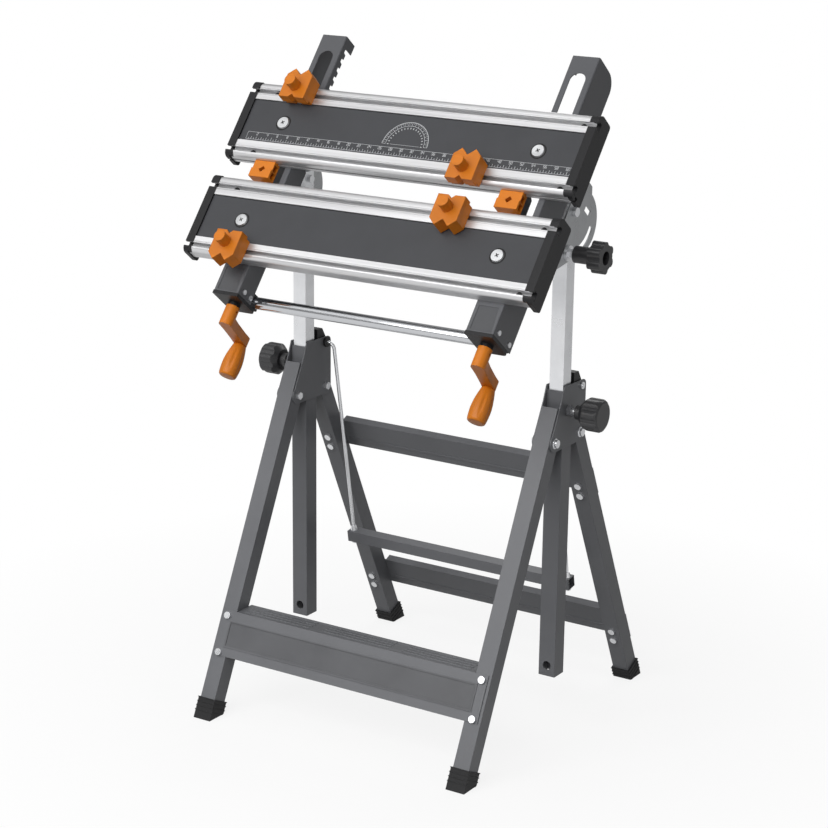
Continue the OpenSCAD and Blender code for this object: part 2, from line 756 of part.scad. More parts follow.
// Cross-section of the folded channel, outer flange on the +x side
module rail_section() {
  difference() {
    union() {
      rect(-half_w + rail_fold_r, rail_top_n - rail_t, half_w - rail_fold_r, rail_top_n);
      rect(half_w - rail_t, rail_top_n - rail_outer_h, half_w, rail_top_n - rail_fold_r);
      rect(-half_w, rail_top_n - rail_inner_h, -half_w + rail_t, rail_top_n - rail_fold_r);
      for (s = [-1, 1]) translate([s * (half_w - rail_fold_r), rail_top_n - rail_fold_r]) intersection() {
        circle(r = rail_fold_r, $fn = 32);
        rect(min(0, s * rail_fold_r), 0, max(0, s * rail_fold_r), rail_fold_r);
      }
    }
    for (s = [-1, 1]) translate([s * (half_w - rail_fold_r), rail_top_n - rail_fold_r])
      circle(r = rail_fold_r - rail_t, $fn = 32);
  }
}

// What is cut away from the side view (v, n) of the inner flange: the rack and the end hook
module rack_cut() {
  steps = floor((rack_end_v - rack_start_v) / rack_pitch);
  low = rail_top_n - rail_inner_h - over;
  polygon([[rack_start_v, low], [rack_start_v + rack_tip_h, rail_top_n - rack_tip_h],
    [rack_end_v - rack_tip_h / 3, rail_top_n - rack_tip_h], [rack_end_v, rail_top_n - hook_h / 2],
    [rack_end_v, low]]);
  for (i = [1:steps])
    translate([rack_end_v - rack_pitch * i, rail_top_n - rack_tip_h - over])
      polygon([[rack_pitch * rack_tooth_share, 0], [rack_pitch, 0],
        [rack_pitch - over, over + rack_tip_h - rack_root_h],
        [rack_pitch * rack_tooth_share + 2 * over, over + rack_tip_h - rack_root_h]]);
  rect(rack_end_v - over, low, rail_rear + over, rail_top_n - hook_h);
}

module rail(side) {
  color(powder) at_rail(side) difference() {
    along_y(-rail_front, rail_rear) rail_section();
    // Slot in the top for the jaw bolts
    translate([0, 0, rail_top_n - rail_t - over]) linear_extrude(rail_t + 2 * over) {
      rect(-rail_slot_w / 2, slot_front_v + rail_slot_w / 2, rail_slot_w / 2, slot_rear_v - rail_slot_w / 2);
      translate([0, slot_front_v + rail_slot_w / 2]) circle(r = rail_slot_w / 2);
      translate([0, slot_rear_v - rail_slot_w / 2]) circle(r = rail_slot_w / 2);
    }
    // Pressed recess at the front of the top
    translate([-half_w + recess_margin, -rail_front + recess_margin / 2, rail_top_n - recess_depth])
      cube([rail_w - 2 * recess_margin, recess_len, recess_depth + over]);
    // Rounded rear corner of the outer flange
    along_x(half_w - rail_t - over, half_w + over) difference() {
      rect(rail_rear - rail_corner_r, rail_top_n - rail_outer_h - over, rail_rear + over,
        rail_top_n - rail_outer_h + rail_corner_r);
      translate([rail_rear - rail_corner_r, rail_top_n - rail_outer_h + rail_corner_r])
        circle(r = rail_corner_r);
    }
    // Rack and hook on the inner flange
    along_x(-half_w - over, -half_w + rail_t + over) rack_cut();
    // Screw holes for the end cap and the tilt bracket
    for (n = cap_outer_drops) translate([0, cap_screw_v, -n])
      rod_x_axis(half_w - rail_t - over, half_w + over, cap_screw_r + run_fit);
    for (n = cap_inner_drops) translate([0, cap_screw_v, -n])
      rod_x_axis(-half_w - over, -half_w + rail_t + over, cap_screw_r + run_fit);
    for (v = tab_bolt_vs) translate([0, v, tab_bolt_n])
      rod_x_axis(half_w - rail_t - over, half_w + over, bolt_r + run_fit);
  }
}

module rail_left() { rail(-1); }
module rail_right() { rail(1); }

// End cap in the front of a rail: it carries the spindle and the cross tube
cap_plate_t = 6;
cap_plug_len = 21;
cap_drop = 87;
cap_corner_r = 9;
cap_screw_in = 9;
cap_screw_v = -rail_front + cap_screw_in;
cap_outer_drops = [38.5, 77.8];
cap_inner_drops = [39, 59];
cap_screw_r = 2;
cap_screw_head_r = 4.2;
cap_screw_head_t = 1.8;
tube_in = 10;
tube_v = -rail_front + tube_in;
tube_drop = 77;
tube_r = 10;
tube_wall = 1.2;
tube_seat = 10;
bush_r = 10.5;
bush_len = 5;
bush_collar = 3;
bush_wall = 2;
plug_gap = 0.35;
cap_screw_len = 9;

module cap_face() {
  difference() {
    rect(-half_w, -cap_drop, half_w, rail_top_n);
    for (s = [-1, 1]) difference() {
      rect(min(s * half_w, s * (half_w - cap_corner_r)), -cap_drop - over,
        max(s * (half_w + over), s * (half_w - cap_corner_r)), -cap_drop + cap_corner_r);
      translate([s * (half_w - cap_corner_r), -cap_drop + cap_corner_r]) circle(r = cap_corner_r);
    }
  }
}

module rail_cap(side) {
  plug_w = half_w - rail_t - plug_gap;
  color(black) at_rail(side) difference() {
    union() {
      along_y(-rail_front - cap_plate_t, -rail_front) cap_face();
      translate([-plug_w, -rail_front - over, -cap_drop])
        cube([2 * plug_w, cap_plug_len + over, cap_drop + rail_top_n - rail_t - plug_gap]);
      // Boss round the end of the cross tube, below the inner flange
      translate([-half_w, -rail_front - over, -cap_drop])
        cube([half_w, cap_plug_len + over, cap_drop + rail_top_n - rail_inner_h - seat_gap]);
    }
    translate([0, 0, -spindle_drop]) rotate([90, 0, 0])
      translate([0, 0, -far / 2]) cylinder(h = far, r = spindle_r + bush_wall);
    translate([0, tube_v, -tube_drop]) rod_x_axis(-half_w - over, -half_w + tube_seat, tube_r + seat_gap);
    for (n = cap_outer_drops) translate([0, cap_screw_v, -n])
      rod_x_axis(half_w - cap_screw_len, half_w + over, cap_screw_r + run_fit);
    for (n = cap_inner_drops) translate([0, cap_screw_v, -n])
      rod_x_axis(-half_w - over, -half_w + cap_screw_len, cap_screw_r + run_fit);
  }
}

module rail_cap_left() { rail_cap(-1); }
module rail_cap_right() { rail_cap(1); }

module rail_cap_screws() {
  color(zinc) for (side = [-1, 1]) at_rail(side) {
    for (n = cap_outer_drops) translate([0, cap_screw_v, -n]) {
      rod_x_axis(half_w - cap_screw_len + over, half_w + cap_screw_head_t, cap_screw_r);
      rod_x_axis(half_w, half_w + cap_screw_head_t, cap_screw_head_r);
    }
    for (n = cap_inner_drops) translate([0, cap_screw_v, -n]) {
      rod_x_axis(-half_w - cap_screw_head_t, -half_w + cap_screw_len - over, cap_screw_r);
      rod_x_axis(-half_w - cap_screw_head_t, -half_w, cap_screw_head_r);
    }
  }
}

module cross_tube() {
  color(chrome) on_table() translate([0, tube_v, -tube_drop]) difference() {
    rod_x_axis(-rail_left_x + half_w - tube_seat + seat_gap, rail_right_x - half_w + tube_seat - seat_gap, tube_r);
    rod_x_axis(-rail_left_x, rail_right_x, tube_r - tube_wall);
  }
}

// Collared bush that each spindle turns in
module spindle_bushes() {
  color(black) for (side = [-1, 1]) at_rail(side) translate([0, 0, -spindle_drop]) rotate([90, 0, 0])
    difference() {
      union() {
        translate([0, 0, rail_front + cap_plate_t]) cylinder(h = bush_len, r = bush_r);
        translate([0, 0, rail_front - cap_plug_len - bush_collar])
          cylinder(h = cap_plug_len + cap_plate_t + bush_collar + over, r = spindle_r + bush_wall - seat_gap);
        translate([0, 0, rail_front - cap_plug_len - bush_collar]) cylinder(h = bush_collar, r = bush_r);
      }
      translate([0, 0, -far / 2]) cylinder(h = far, r = spindle_r + run_fit);
    }
}

// Tilt bracket: an upright leaf beside the post, and a shelf and tab under the rail
shelf_n = rail_top_n - rail_outer_h;
shelf_inward = 13;
shelf_outward = 41;
shelf_behind_pivot = 24;
shelf_len = 64;
shelf_in = post_x - shelf_inward;
shelf_out = post_x + shelf_outward;
shelf_v0 = pivot_v + shelf_behind_pivot;
shelf_v1 = shelf_v0 + shelf_len;
shelf_r = 8;
tab_h = 34;
tab_t = 2.5;
tab_bolt_inset = 14;
tab_bolt_down = 12;
tab_bolt_vs = [shelf_v0 + tab_bolt_inset, shelf_v1 - tab_bolt_inset];
tab_bolt_n = shelf_n + tab_h - tab_bolt_down;
leaf_rise = 17.9;
leaf_reach = 105.4;
leaf_front_h = 22;
leaf_neck_w = 36;
leaf_neck_drop = 24;
leaf_disc_r = 50;
leaf_disc_drop = 32;
leaf_top_n = -pivot_drop + leaf_rise;
leaf_disc_n = -pivot_drop - leaf_disc_drop;
leaf_front_v = pivot_v - leaf_reach;
// The arc slot follows the clamp bolt round the pivot, with the tilt's two end angles
arc_play = 1.5;
tilt_up_angle = 4;
tilt_down_angle = 73.6;
arc_mid_r = norm([clamp_y, clamp_drop]);
arc_half = clamp_bolt_r + arc_play;
arc_in_r = arc_mid_r - arc_half;
arc_out_r = arc_mid_r + arc_half;
clamp_turn = atan2(-clamp_drop, clamp_y) + 360 - table_tilt;
arc_start = clamp_turn - tilt_up_angle;
arc_end = clamp_turn + tilt_down_angle;
window_w = 10;
window_h = 19.5;
window_behind_pivot = 18;
window_drop = 27;
window_v0 = pivot_v + window_behind_pivot;
window_v1 = window_v0 + window_w;
window_n1 = -pivot_drop - window_drop;
window_n0 = window_n1 - window_h;

module leaf_outline() {
  difference() {
    union() {
      polygon([[leaf_front_v, leaf_top_n], [shelf_v0, leaf_top_n], [shelf_v0, shelf_n - leaf_t],
        [shelf_v0 + leaf_neck_w, shelf_n - leaf_t], [shelf_v0 + leaf_neck_w, -pivot_drop - leaf_neck_drop],
        [pivot_v + leaf_disc_r, leaf_disc_n], [pivot_v - leaf_disc_r * 0.72, leaf_disc_n - leaf_disc_r * 0.68],
        [leaf_front_v, leaf_top_n - leaf_front_h]]);
      translate([pivot_v, leaf_disc_n]) circle(r = leaf_disc_r, $fn = 96);
    }
    translate([pivot_v, -pivot_drop]) circle(r = pivot_bolt_r + run_fit);
    translate([pivot_v, -pivot_drop]) intersection() {
      difference() {
        circle(r = arc_out_r, $fn = 128);
        circle(r = arc_in_r, $fn = 128);
      }
      polygon([[0, 0], arc_ray(arc_start), arc_ray(arc_start + (arc_end - arc_start) / 3),
        arc_ray(arc_start + (arc_end - arc_start) * 2 / 3), arc_ray(arc_end)]);
    }
    for (a = [arc_start, arc_end]) translate([pivot_v, -pivot_drop]) rotate(a) translate([arc_mid_r, 0])
      circle(r = arc_half, $fn = 32);
    rect(window_v0, window_n0, window_v1, window_n1);
  }
}

function arc_ray(a) = [2 * arc_out_r * cos(a), 2 * arc_out_r * sin(a)];

module tilt_bracket(side) {
  rail_out = side > 0 ? rail_right_x + half_w : rail_left_x + half_w;
  color(zinc) scale_side(side) on_table() {
    along_x(leaf_in, leaf_out) leaf_outline();
    translate([0, 0, shelf_n - leaf_t]) linear_extrude(leaf_t) {
      rect(shelf_in, shelf_v0 + shelf_r, shelf_out, shelf_v1 - shelf_r);
      rect(shelf_in, shelf_v0, shelf_out - shelf_r, shelf_v1);
      for (v = [shelf_v0 + shelf_r, shelf_v1 - shelf_r]) translate([shelf_out - shelf_r, v]) circle(r = shelf_r);
    }
    difference() {
      translate([rail_out, shelf_v0 + shelf_r / 2, shelf_n - over])
        cube([tab_t, shelf_v1 - shelf_v0 - shelf_r, tab_h + over]);
      for (v = tab_bolt_vs) translate([0, v, tab_bolt_n])
        rod_x_axis(rail_out - over, rail_out + tab_t + over, bolt_r + run_fit);
    }
  }
}

module tilt_bracket_left() { tilt_bracket(-1); }
module tilt_bracket_right() { tilt_bracket(1); }

module bracket_bolts() {
  color(zinc) for (side = [-1, 1]) at_rail(side) for (v = tab_bolt_vs) translate([0, v, tab_bolt_n]) {
    rod_x_axis(half_w - rail_t - bolt_head_h, half_w + tab_t + bolt_head_h, bolt_r);
    hex_x(half_w - rail_t - bolt_head_h, half_w - rail_t, bolt_head_r);
    rod_x_axis(half_w + tab_t, half_w + tab_t + bolt_head_h, bolt_head_r);
  }
}

// Spindles and cranks
spindle_end_v = 122;
hub_front = rail_front + cap_plate_t + bush_len + slide_gap;
hub_len = 34;
spindle_collar = 3;
crank_boss_r = 11;
crank_web_w = 20;
crank_bore = spindle_r + seat_gap;
grip_pin_r = 4;
grip_pin_play = 4;
grip_end_wall = 3;
set_screw_r = 2;

module at_spindle(side) {
  on_table() translate([side > 0 ? rail_right_x : -rail_left_x, 0, -spindle_drop])
    rotate([90, 0, 0]) children();
}

module spindle(side) {
  color(zinc) at_spindle(side) translate([0, 0, -spindle_end_v])
    cylinder(h = spindle_end_v + hub_front + hub_len - over, r = spindle_r);
}

// Arm direction: hanging from the spindle, leaning to the left on both cranks
module at_crank_end() {
  rotate(-crank_lean) translate([0, -crank_throw, 0]) children();
}

module crank(side) {
  arm_z = hub_front + hub_len - crank_arm_t;
  color(orange) at_spindle(side) difference() {
    union() {
      translate([0, 0, hub_front]) cylinder(h = hub_len, r = crank_hub_r);
      translate([0, 0, arm_z]) linear_extrude(crank_arm_t) rotate(-crank_lean) {
        circle(r = crank_hub_r);
        translate([0, -crank_throw]) circle(r = crank_boss_r);
        polygon([[-crank_hub_r, 0], [crank_hub_r, 0], [crank_web_w / 2, -crank_throw * 0.3],
          [crank_web_w / 2, -crank_throw * 0.75], [crank_boss_r, -crank_throw],
          [-crank_boss_r, -crank_throw], [-crank_web_w / 2, -crank_throw * 0.75],
          [-crank_web_w / 2, -crank_throw * 0.3]]);
      }
      at_crank_end() translate([0, 0, arm_z]) cylinder(h = crank_arm_t + grip_len - grip_pin_play, r = grip_pin_r);
    }
    translate([0, 0, hub_front - over]) cylinder(h = hub_len, r = crank_bore);
    // Hole of the set screw
    translate([0, 0, hub_front + hub_len * 0.25]) rotate([0, 90, 0]) cylinder(h = crank_hub_r + over, r = set_screw_r);
  }
}

// Barrel-shaped grip that turns on the crank's pin
grip_top_r = 11;
grip_belly_r = 16.5;
grip_end_r = 15;

module grip(side) {
  color(orange) at_spindle(side) at_crank_end() translate([0, 0, hub_front + hub_len + slide_gap])
    rotate_extrude($fn = 64) polygon([[grip_pin_r + run_fit, 0], [grip_top_r - over, 0],
      [grip_top_r, over], [grip_top_r * 0.65 + grip_belly_r * 0.35, grip_len * 0.2],
      [grip_top_r * 0.2 + grip_belly_r * 0.8, grip_len * 0.4], [grip_belly_r, grip_len * 0.62],
      [grip_belly_r * 0.7 + grip_end_r * 0.3, grip_len * 0.8], [grip_end_r, grip_len * 0.94],
      [grip_end_r * 0.9, grip_len], [0, grip_len], [0, grip_len - grip_end_wall],
      [grip_pin_r + run_fit, grip_len - grip_end_wall]]);
}

module spindle_left() { spindle(-1); }
module spindle_right() { spindle(1); }
module crank_left() { crank(-1); }
module crank_right() { crank(1); }
module grip_left() { grip(-1); }
module grip_right() { grip(1); }

// Jaws. Each is two alloy bars with a panel between them and a cover at each end
jaw_half = jaw_w / 2;
rear_jaw_v = front_jaw_d + jaw_gap;
rear_jaw_end = rear_jaw_v + rear_jaw_d;
bar_ledge = 6;
bar_wall_t = 2;
rear_front_bar_d = 29;
rear_rear_bar_d = 33;
front_slot_in = 11;
front_rear_slot_in = 19.5;
rear_front_slot_in = 11.5;
rear_rear_slot_in = 18;
front_slot_v = front_slot_in;
front_rear_slot_v = front_jaw_d - front_rear_slot_in;
rear_front_slot_v = rear_jaw_v + rear_front_slot_in;
rear_rear_slot_v = rear_jaw_end - rear_rear_slot_in;
face_slot_n = -17.5;
face_slot_mouth = 4;
face_slot_inner = 7;
nose_r = 9;
vslot_depth = 5;
groove = 0.8;

// T-slot in a bar's top, and its way out through an end cover
module t_slot() {
  rect(-slot_mouth / 2, -slot_depth, slot_mouth / 2, cover_top + over);
  rect(-slot_inner / 2, -slot_depth, slot_inner / 2, -slot_lip);
}

// Section of a bar: a hollow box with its slot, grooves and the ledge that carries the panel
module bar_section(v0, v1, slot_v, ledge_front, ledge_rear) {
  difference() {
    union() {
      rect(v0, -jaw_t, v1, 0);
      if (ledge_front) rect(v0 - bar_ledge, -jaw_t, v0 + over, -panel_drop - panel_t - seat_gap);
      if (ledge_rear) rect(v1 - over, -jaw_t, v1 + bar_ledge, -panel_drop - panel_t - seat_gap);
    }
    translate([slot_v, 0]) t_slot();
    // Chambers under and beside the slot
    rect(v0 + bar_wall_t + face_slot_mouth, -jaw_t + bar_wall_t, slot_v - bar_wall_t / 2, -slot_depth - bar_wall_t);
    rect(slot_v + bar_wall_t / 2, -jaw_t + bar_wall_t, v1 - bar_wall_t - face_slot_mouth, -slot_depth - bar_wall_t);
    // Fine grooves along the top, either side of the slot
    for (s = [-1, 1]) translate([slot_v + s * (slot_mouth / 2 + bar_wall_t), 0])
      rect(-groove / 2, -groove, groove / 2, over);
  }
}

// What is cut away from a jaw's upper edge at v to round it. The jaw lies on the side of the given sign
module nose_cut(v, s) {
  difference() {
    rect(min(v - s * over, v + s * nose_r), -nose_r, max(v - s * over, v + s * nose_r), over);
    translate([v + s * nose_r, -nose_r]) circle(r = nose_r);
  }
}

// Slot in the rear jaw's front face for the V-blocks
module face_slot() {
  rect(rear_jaw_v - cover_lap - over, face_slot_n - face_slot_mouth / 2, rear_jaw_v + vslot_depth,
    face_slot_n + face_slot_mouth / 2);
  rect(rear_jaw_v + bar_wall_t, face_slot_n - face_slot_inner / 2, rear_jaw_v + vslot_depth,
    face_slot_n + face_slot_inner / 2);
}

module front_jaw_bars() {
  color(alloy) on_table() along_x(-jaw_half, jaw_half) {
    difference() {
      bar_section(0, front_bar_d, front_slot_v, false, true);
      nose_cut(0, 1);
    }
    difference() {
      bar_section(front_jaw_d - front_rear_bar_d, front_jaw_d, front_rear_slot_v, true, false);
      nose_cut(front_jaw_d, -1);
    }
  }
}

module rear_jaw_bars() {
  color(alloy) on_table() along_x(-jaw_half, jaw_half) {
    difference() {
      bar_section(rear_jaw_v, rear_jaw_v + rear_front_bar_d, rear_front_slot_v, false, true);
      nose_cut(rear_jaw_v, 1);
      face_slot();
    }
    difference() {
      bar_section(rear_jaw_end - rear_rear_bar_d, rear_jaw_end, rear_rear_slot_v, true, false);
      nose_cut(rear_jaw_end, -1);
    }
  }
}

module panel(v0, v1) {
  difference() {
    translate([-jaw_half, v0 + seat_gap, -panel_drop - panel_t])
      cube([jaw_w, v1 - v0 - 2 * seat_gap, panel_t]);
    for (x = coach_xs) translate([x, (v0 + v1) / 2, -panel_drop - panel_t - over])
      cylinder(h = panel_t + 2 * over, r = coach_r + seat_gap);
  }
}

module front_jaw_panel() {
  color(panel_grey) on_table() panel(front_bar_d, front_jaw_d - front_rear_bar_d);
}

module rear_jaw_panel() {
  color(panel_grey) on_table()
    panel(rear_jaw_v + rear_front_bar_d, rear_jaw_end - rear_rear_bar_d);
}

// End cover: a plate over the bars' ends with a skirt below them, and a lip over their top.
// The T-slots run out through both, so that dogs can be pushed in from the end
cover_skirt = 38;
cover_top = 1;
cover_lap = 2;
cover_foot_r = 5;
cover_nose_r = nose_r + cover_lap;
cover_lip = 7;

module cover_outline(v0, v1) {
  a = v0 - cover_lap;
  b = v1 + cover_lap;
  rect(a + cover_nose_r, -cover_skirt, b - cover_nose_r, cover_top);
  rect(a, -cover_skirt + cover_foot_r, b, cover_top - cover_nose_r);
  rect(a + cover_foot_r, -cover_skirt, b - cover_foot_r, cover_top - cover_nose_r);
  for (v = [a + cover_nose_r, b - cover_nose_r])
    translate([v, cover_top - cover_nose_r]) circle(r = cover_nose_r);
  for (v = [a + cover_foot_r, b - cover_foot_r])
    translate([v, -cover_skirt + cover_foot_r]) circle(r = cover_foot_r);
}

// Lip over the two bars' tops and noses, and over the end of the panel between them
module lip_outline(v0, v1, panel_v0, panel_v1) {
  difference() {
    intersection() {
      cover_outline(v0, v1);
      rect(v0, -nose_r, v1, cover_top + over);
    }
    difference() {
      rect(v0 - over, -nose_r - over, v1 + over, 0);
      nose_cut(v0, 1);
      nose_cut(v1, -1);
    }
  }
  rect(panel_v0 + seat_gap, -panel_drop, panel_v1 - seat_gap, cover_top);
}

module end_cover(v0, v1, panel_v0, panel_v1, slots) {
  both_sides() difference() {
    union() {
      along_x(jaw_half, jaw_half + cover_t) cover_outline(v0, v1);
      along_x(jaw_half - cover_lip, jaw_half + over) lip_outline(v0, v1, panel_v0, panel_v1);
    }
    along_x(jaw_half - cover_lip - over, jaw_half + cover_t + over)
      for (v = slots) translate([v, 0]) t_slot();
  }
}

module front_jaw_covers() {
  color(black) on_table() end_cover(0, front_jaw_d, front_bar_d, front_jaw_d - front_rear_bar_d,
    [front_slot_v, front_rear_slot_v]);
}

module rear_jaw_covers() {
  color(black) on_table() difference() {
    end_cover(rear_jaw_v, rear_jaw_end, rear_jaw_v + rear_front_bar_d, rear_jaw_end - rear_rear_bar_d,
      [rear_front_slot_v, rear_rear_slot_v]);
    along_x(-jaw_half - cover_t - over, jaw_half + cover_t + over) face_slot();
  }
}

// Coach screws through the panels, and the stop screws in the slots
coach_left_out = 8.4;
coach_right_in = 4.5;
coach_xs = [-rail_left_x - coach_left_out, rail_right_x - coach_right_in];
coach_r = 4;
coach_head_r = 11;
coach_head_t = 2.6;
stop_left_in = 40;
stop_right_in = 19.5;
stop_xs = [-jaw_half + stop_left_in, jaw_half - stop_right_in];
stop_r = 4.7;
stop_h = 2.5;
rear_coach_v = (rear_jaw_v + rear_front_bar_d + rear_jaw_end - rear_rear_bar_d) / 2;
coach_below = 20.3;
coach_end = -jaw_t - coach_below;

module coach_screws(v) {
  for (x = coach_xs) translate([x, v, 0]) {
    translate([0, 0, coach_end]) cylinder(h = -coach_end - panel_drop, r = coach_r);
    translate([0, 0, -panel_drop]) cylinder(h = coach_head_t, r1 = coach_head_r, r2 = coach_head_r - over);
  }
}

module stop_screws(vs) {
  for (x = stop_xs, v = vs) translate([x, v, -slot_depth]) cylinder(h = stop_h, r = stop_r);
}

module front_jaw_screws() {
  color(zinc) on_table() {
    coach_screws(front_coach_v);
    stop_screws([front_slot_v, front_rear_slot_v]);
  }
}

module rear_jaw_screws() {
  color(zinc) on_table() {
    coach_screws(rear_coach_v);
    stop_screws([rear_front_slot_v, rear_rear_slot_v]);
  }
}

// Blocks under the rails' tops: spindle nuts for the front jaw, latch blocks for the rear jaw
block_play = 2;
block_half = half_w - rail_t - block_play;
block_len = 30;
nut_under = 12;
nut_low = -spindle_drop - nut_under;
latch_h = 19;
latch_low = rail_top_n - latch_h;
finger_w = 5.5;
finger_t = 4;
finger_lift = 5;
finger_gap = 0.8;
finger_v = rack_end_v - rack_pitch * 8 + rack_pitch * (1 + rack_tooth_share) / 2;
finger_top = rail_top_n - rack_tip_h - finger_gap;
finger_reach = 14;
finger_tab = 18;

module spindle_nut_block(side, v) {
  at_rail(side) difference() {
    union() {
      translate([-block_half, v - block_len / 2, nut_low])
        cube([2 * block_half, block_len, rail_top_n - rail_t - slide_gap - nut_low]);
      translate([0, v, rail_top_n - rail_t - slide_gap - over])
        cylinder(h = rail_t + 2 * slide_gap + over - run_fit, r = saddle_w / 2);
    }
    translate([0, 0, -spindle_drop]) rotate([90, 0, 0]) translate([0, 0, -far / 2])
      cylinder(h = far, r = spindle_r + run_fit);
  }
}

module spindle_nuts() {
  color(zinc) difference() {
    for (side = [-1, 1]) spindle_nut_block(side, front_coach_v);
    on_table() for (x = coach_xs) translate([x, front_coach_v, coach_end - seat_gap])
      cylinder(h = -coach_end, r = coach_r + run_fit);
  }
}

// Guide block under the rear jaw, with a slot behind it for the catch
module latch_blocks() {
  color(zinc) difference() {
    for (side = [-1, 1]) at_rail(side) difference() {
      union() {
        translate([-block_half, rear_coach_v - block_len / 2, latch_low - finger_lift])
          cube([2 * block_half, finger_v + finger_w - rear_coach_v + block_len / 2,
            rail_top_n - rail_t - slide_gap - latch_low + finger_lift]);
        translate([-saddle_w / 2, rear_coach_v - block_len / 2, rail_top_n - rail_t - slide_gap - over])
          cube([saddle_w, block_len, rail_t + 2 * slide_gap + over - run_fit]);
      }
      translate([-half_w, finger_v - finger_w / 2 - slide_gap, latch_low - finger_lift - over])
        cube([half_w + finger_reach + slide_gap, finger_w + 2 * slide_gap, rail_top_n - latch_low + finger_lift]);
    }
    on_table() for (x = coach_xs) translate([x, rear_coach_v, coach_end - seat_gap])
      cylinder(h = -coach_end, r = coach_r + run_fit);
  }
}

// Catch that lifts between two rack teeth and holds the rear jaw, with a pull tab below
module rack_catches() {
  color(zinc) for (side = [-1, 1]) at_rail(side) translate([0, finger_v - finger_w / 2, 0]) {
    translate([-half_w, 0, finger_top - finger_t]) cube([half_w + finger_reach, finger_w, finger_t]);
    translate([finger_reach - finger_t, 0, finger_top - finger_tab]) cube([finger_t, finger_w, finger_tab]);
  }
}

// Bench dog: a body with a large V on one side and a small one on the other, a peg and a T foot
dog_prong = 11;
dog_step = dog_w / 4;
dog_small_v = 6;
dog_slab = 17;
dog_inset = 4;
dog_foot_len = 32;
// Distances of the dogs from the ends of the jaws: front left, front right, rear left, rear right
dog_ins = [91, 172, 97, 174];

module dog_outline(inset) {
  h = dog_side / 2;
  polygon([[-dog_w / 2, -h + inset], [-dog_small_v, -h + inset], [0, -h + dog_small_v + inset],
    [dog_small_v, -h + inset], [dog_w / 2, -h + inset], [dog_w / 2, h], [dog_w / 2 - dog_step, h + dog_prong],
    [0, h], [-dog_w / 2 + dog_step, h + dog_prong], [-dog_w / 2, h]]);
}

module dog(x, v, turned) {
  color(orange) on_table() translate([x, v, 0]) rotate(turned ? 180 : 0) {
    translate([0, 0, slide_gap + dog_h - dog_slab]) linear_extrude(dog_slab) dog_outline(0);
    translate([0, 0, slide_gap]) linear_extrude(dog_h - dog_slab) dog_outline(dog_inset);
    translate([0, 0, slide_gap + dog_h]) cylinder(h = dog_peg_h, r = dog_peg_r);
    translate([-dog_foot_len / 2, -slot_mouth / 2 + slide_gap, -slot_depth + slide_gap])
      cube([dog_foot_len, slot_mouth - 2 * slide_gap, slot_depth + over]);
    translate([-dog_foot_len / 2, -slot_inner / 2 + slide_gap, -slot_depth + slide_gap])
      cube([dog_foot_len, slot_inner - 2 * slide_gap, slot_depth - slot_lip - 2 * slide_gap]);
  }
}

dog_front_left_x = -jaw_half + dog_ins[0];
dog_front_right_x = jaw_half - dog_ins[1];
dog_rear_left_x = -jaw_half + dog_ins[2];
dog_rear_right_x = jaw_half - dog_ins[3];

module dog_front_left() { dog(dog_front_left_x, front_slot_v, true); }
module dog_front_right() { dog(dog_front_right_x, front_rear_slot_v, true); }
module dog_rear_left() { dog(dog_rear_left_x, rear_rear_slot_v, false); }
module dog_rear_right() { dog(dog_rear_right_x, rear_front_slot_v, false); }

// V-block in the slot of the rear jaw's front face
vblock_top = -10;
vblock_hole = 9;
vblock_wall = 2;
vblock_cell_pitch = 13;
vblock_cell_depth = 16;
vblock_step = 2.5;
vblock_left_in = 71;
vblock_right_in = 98;
vblock_left_x = -jaw_half + vblock_left_in;
vblock_right_x = jaw_half - vblock_right_in;

module vblock(x) {
  color(orange) on_table() translate([x, rear_jaw_v - slide_gap, 0]) difference() {
    union() {
      translate([-vblock_w / 2, -vblock_d, -jaw_t]) cube([vblock_w, vblock_d, jaw_t + vblock_top]);
      translate([-vblock_w / 2, -vblock_d, -jaw_t])
        cube([vblock_w, vblock_d / 2, jaw_t + vblock_top + vblock_step]);
      translate([-vblock_w / 2, -over, face_slot_n - face_slot_mouth / 2 + slide_gap])
        cube([vblock_w, vslot_depth + over, face_slot_mouth - 2 * slide_gap]);
      translate([-vblock_w / 2, bar_wall_t + 2 * slide_gap, face_slot_n - face_slot_inner / 2 + slide_gap])
        cube([vblock_w, vslot_depth - bar_wall_t - 2 * slide_gap, face_slot_inner - 2 * slide_gap]);
    }
    translate([0, -vblock_d / 2, -jaw_t - over]) rotate(45) translate([-vblock_hole / 2, -vblock_hole / 2, 0])
      cube([vblock_hole, vblock_hole, jaw_t + vblock_top + vblock_step + 2 * over]);
    // Cells in the end faces
    for (end = [-1, 1], k = [0, 1])
      translate([end * vblock_w / 2 - vblock_cell_depth / 2, -vblock_d + vblock_wall + k * vblock_cell_pitch,
        -jaw_t + vblock_wall]) cube([vblock_cell_depth, vblock_cell_pitch - vblock_wall,
          jaw_t + vblock_top - 2 * vblock_wall]);
  }
}

module vblock_left() { vblock(vblock_left_x); }
module vblock_right() { vblock(vblock_right_x); }

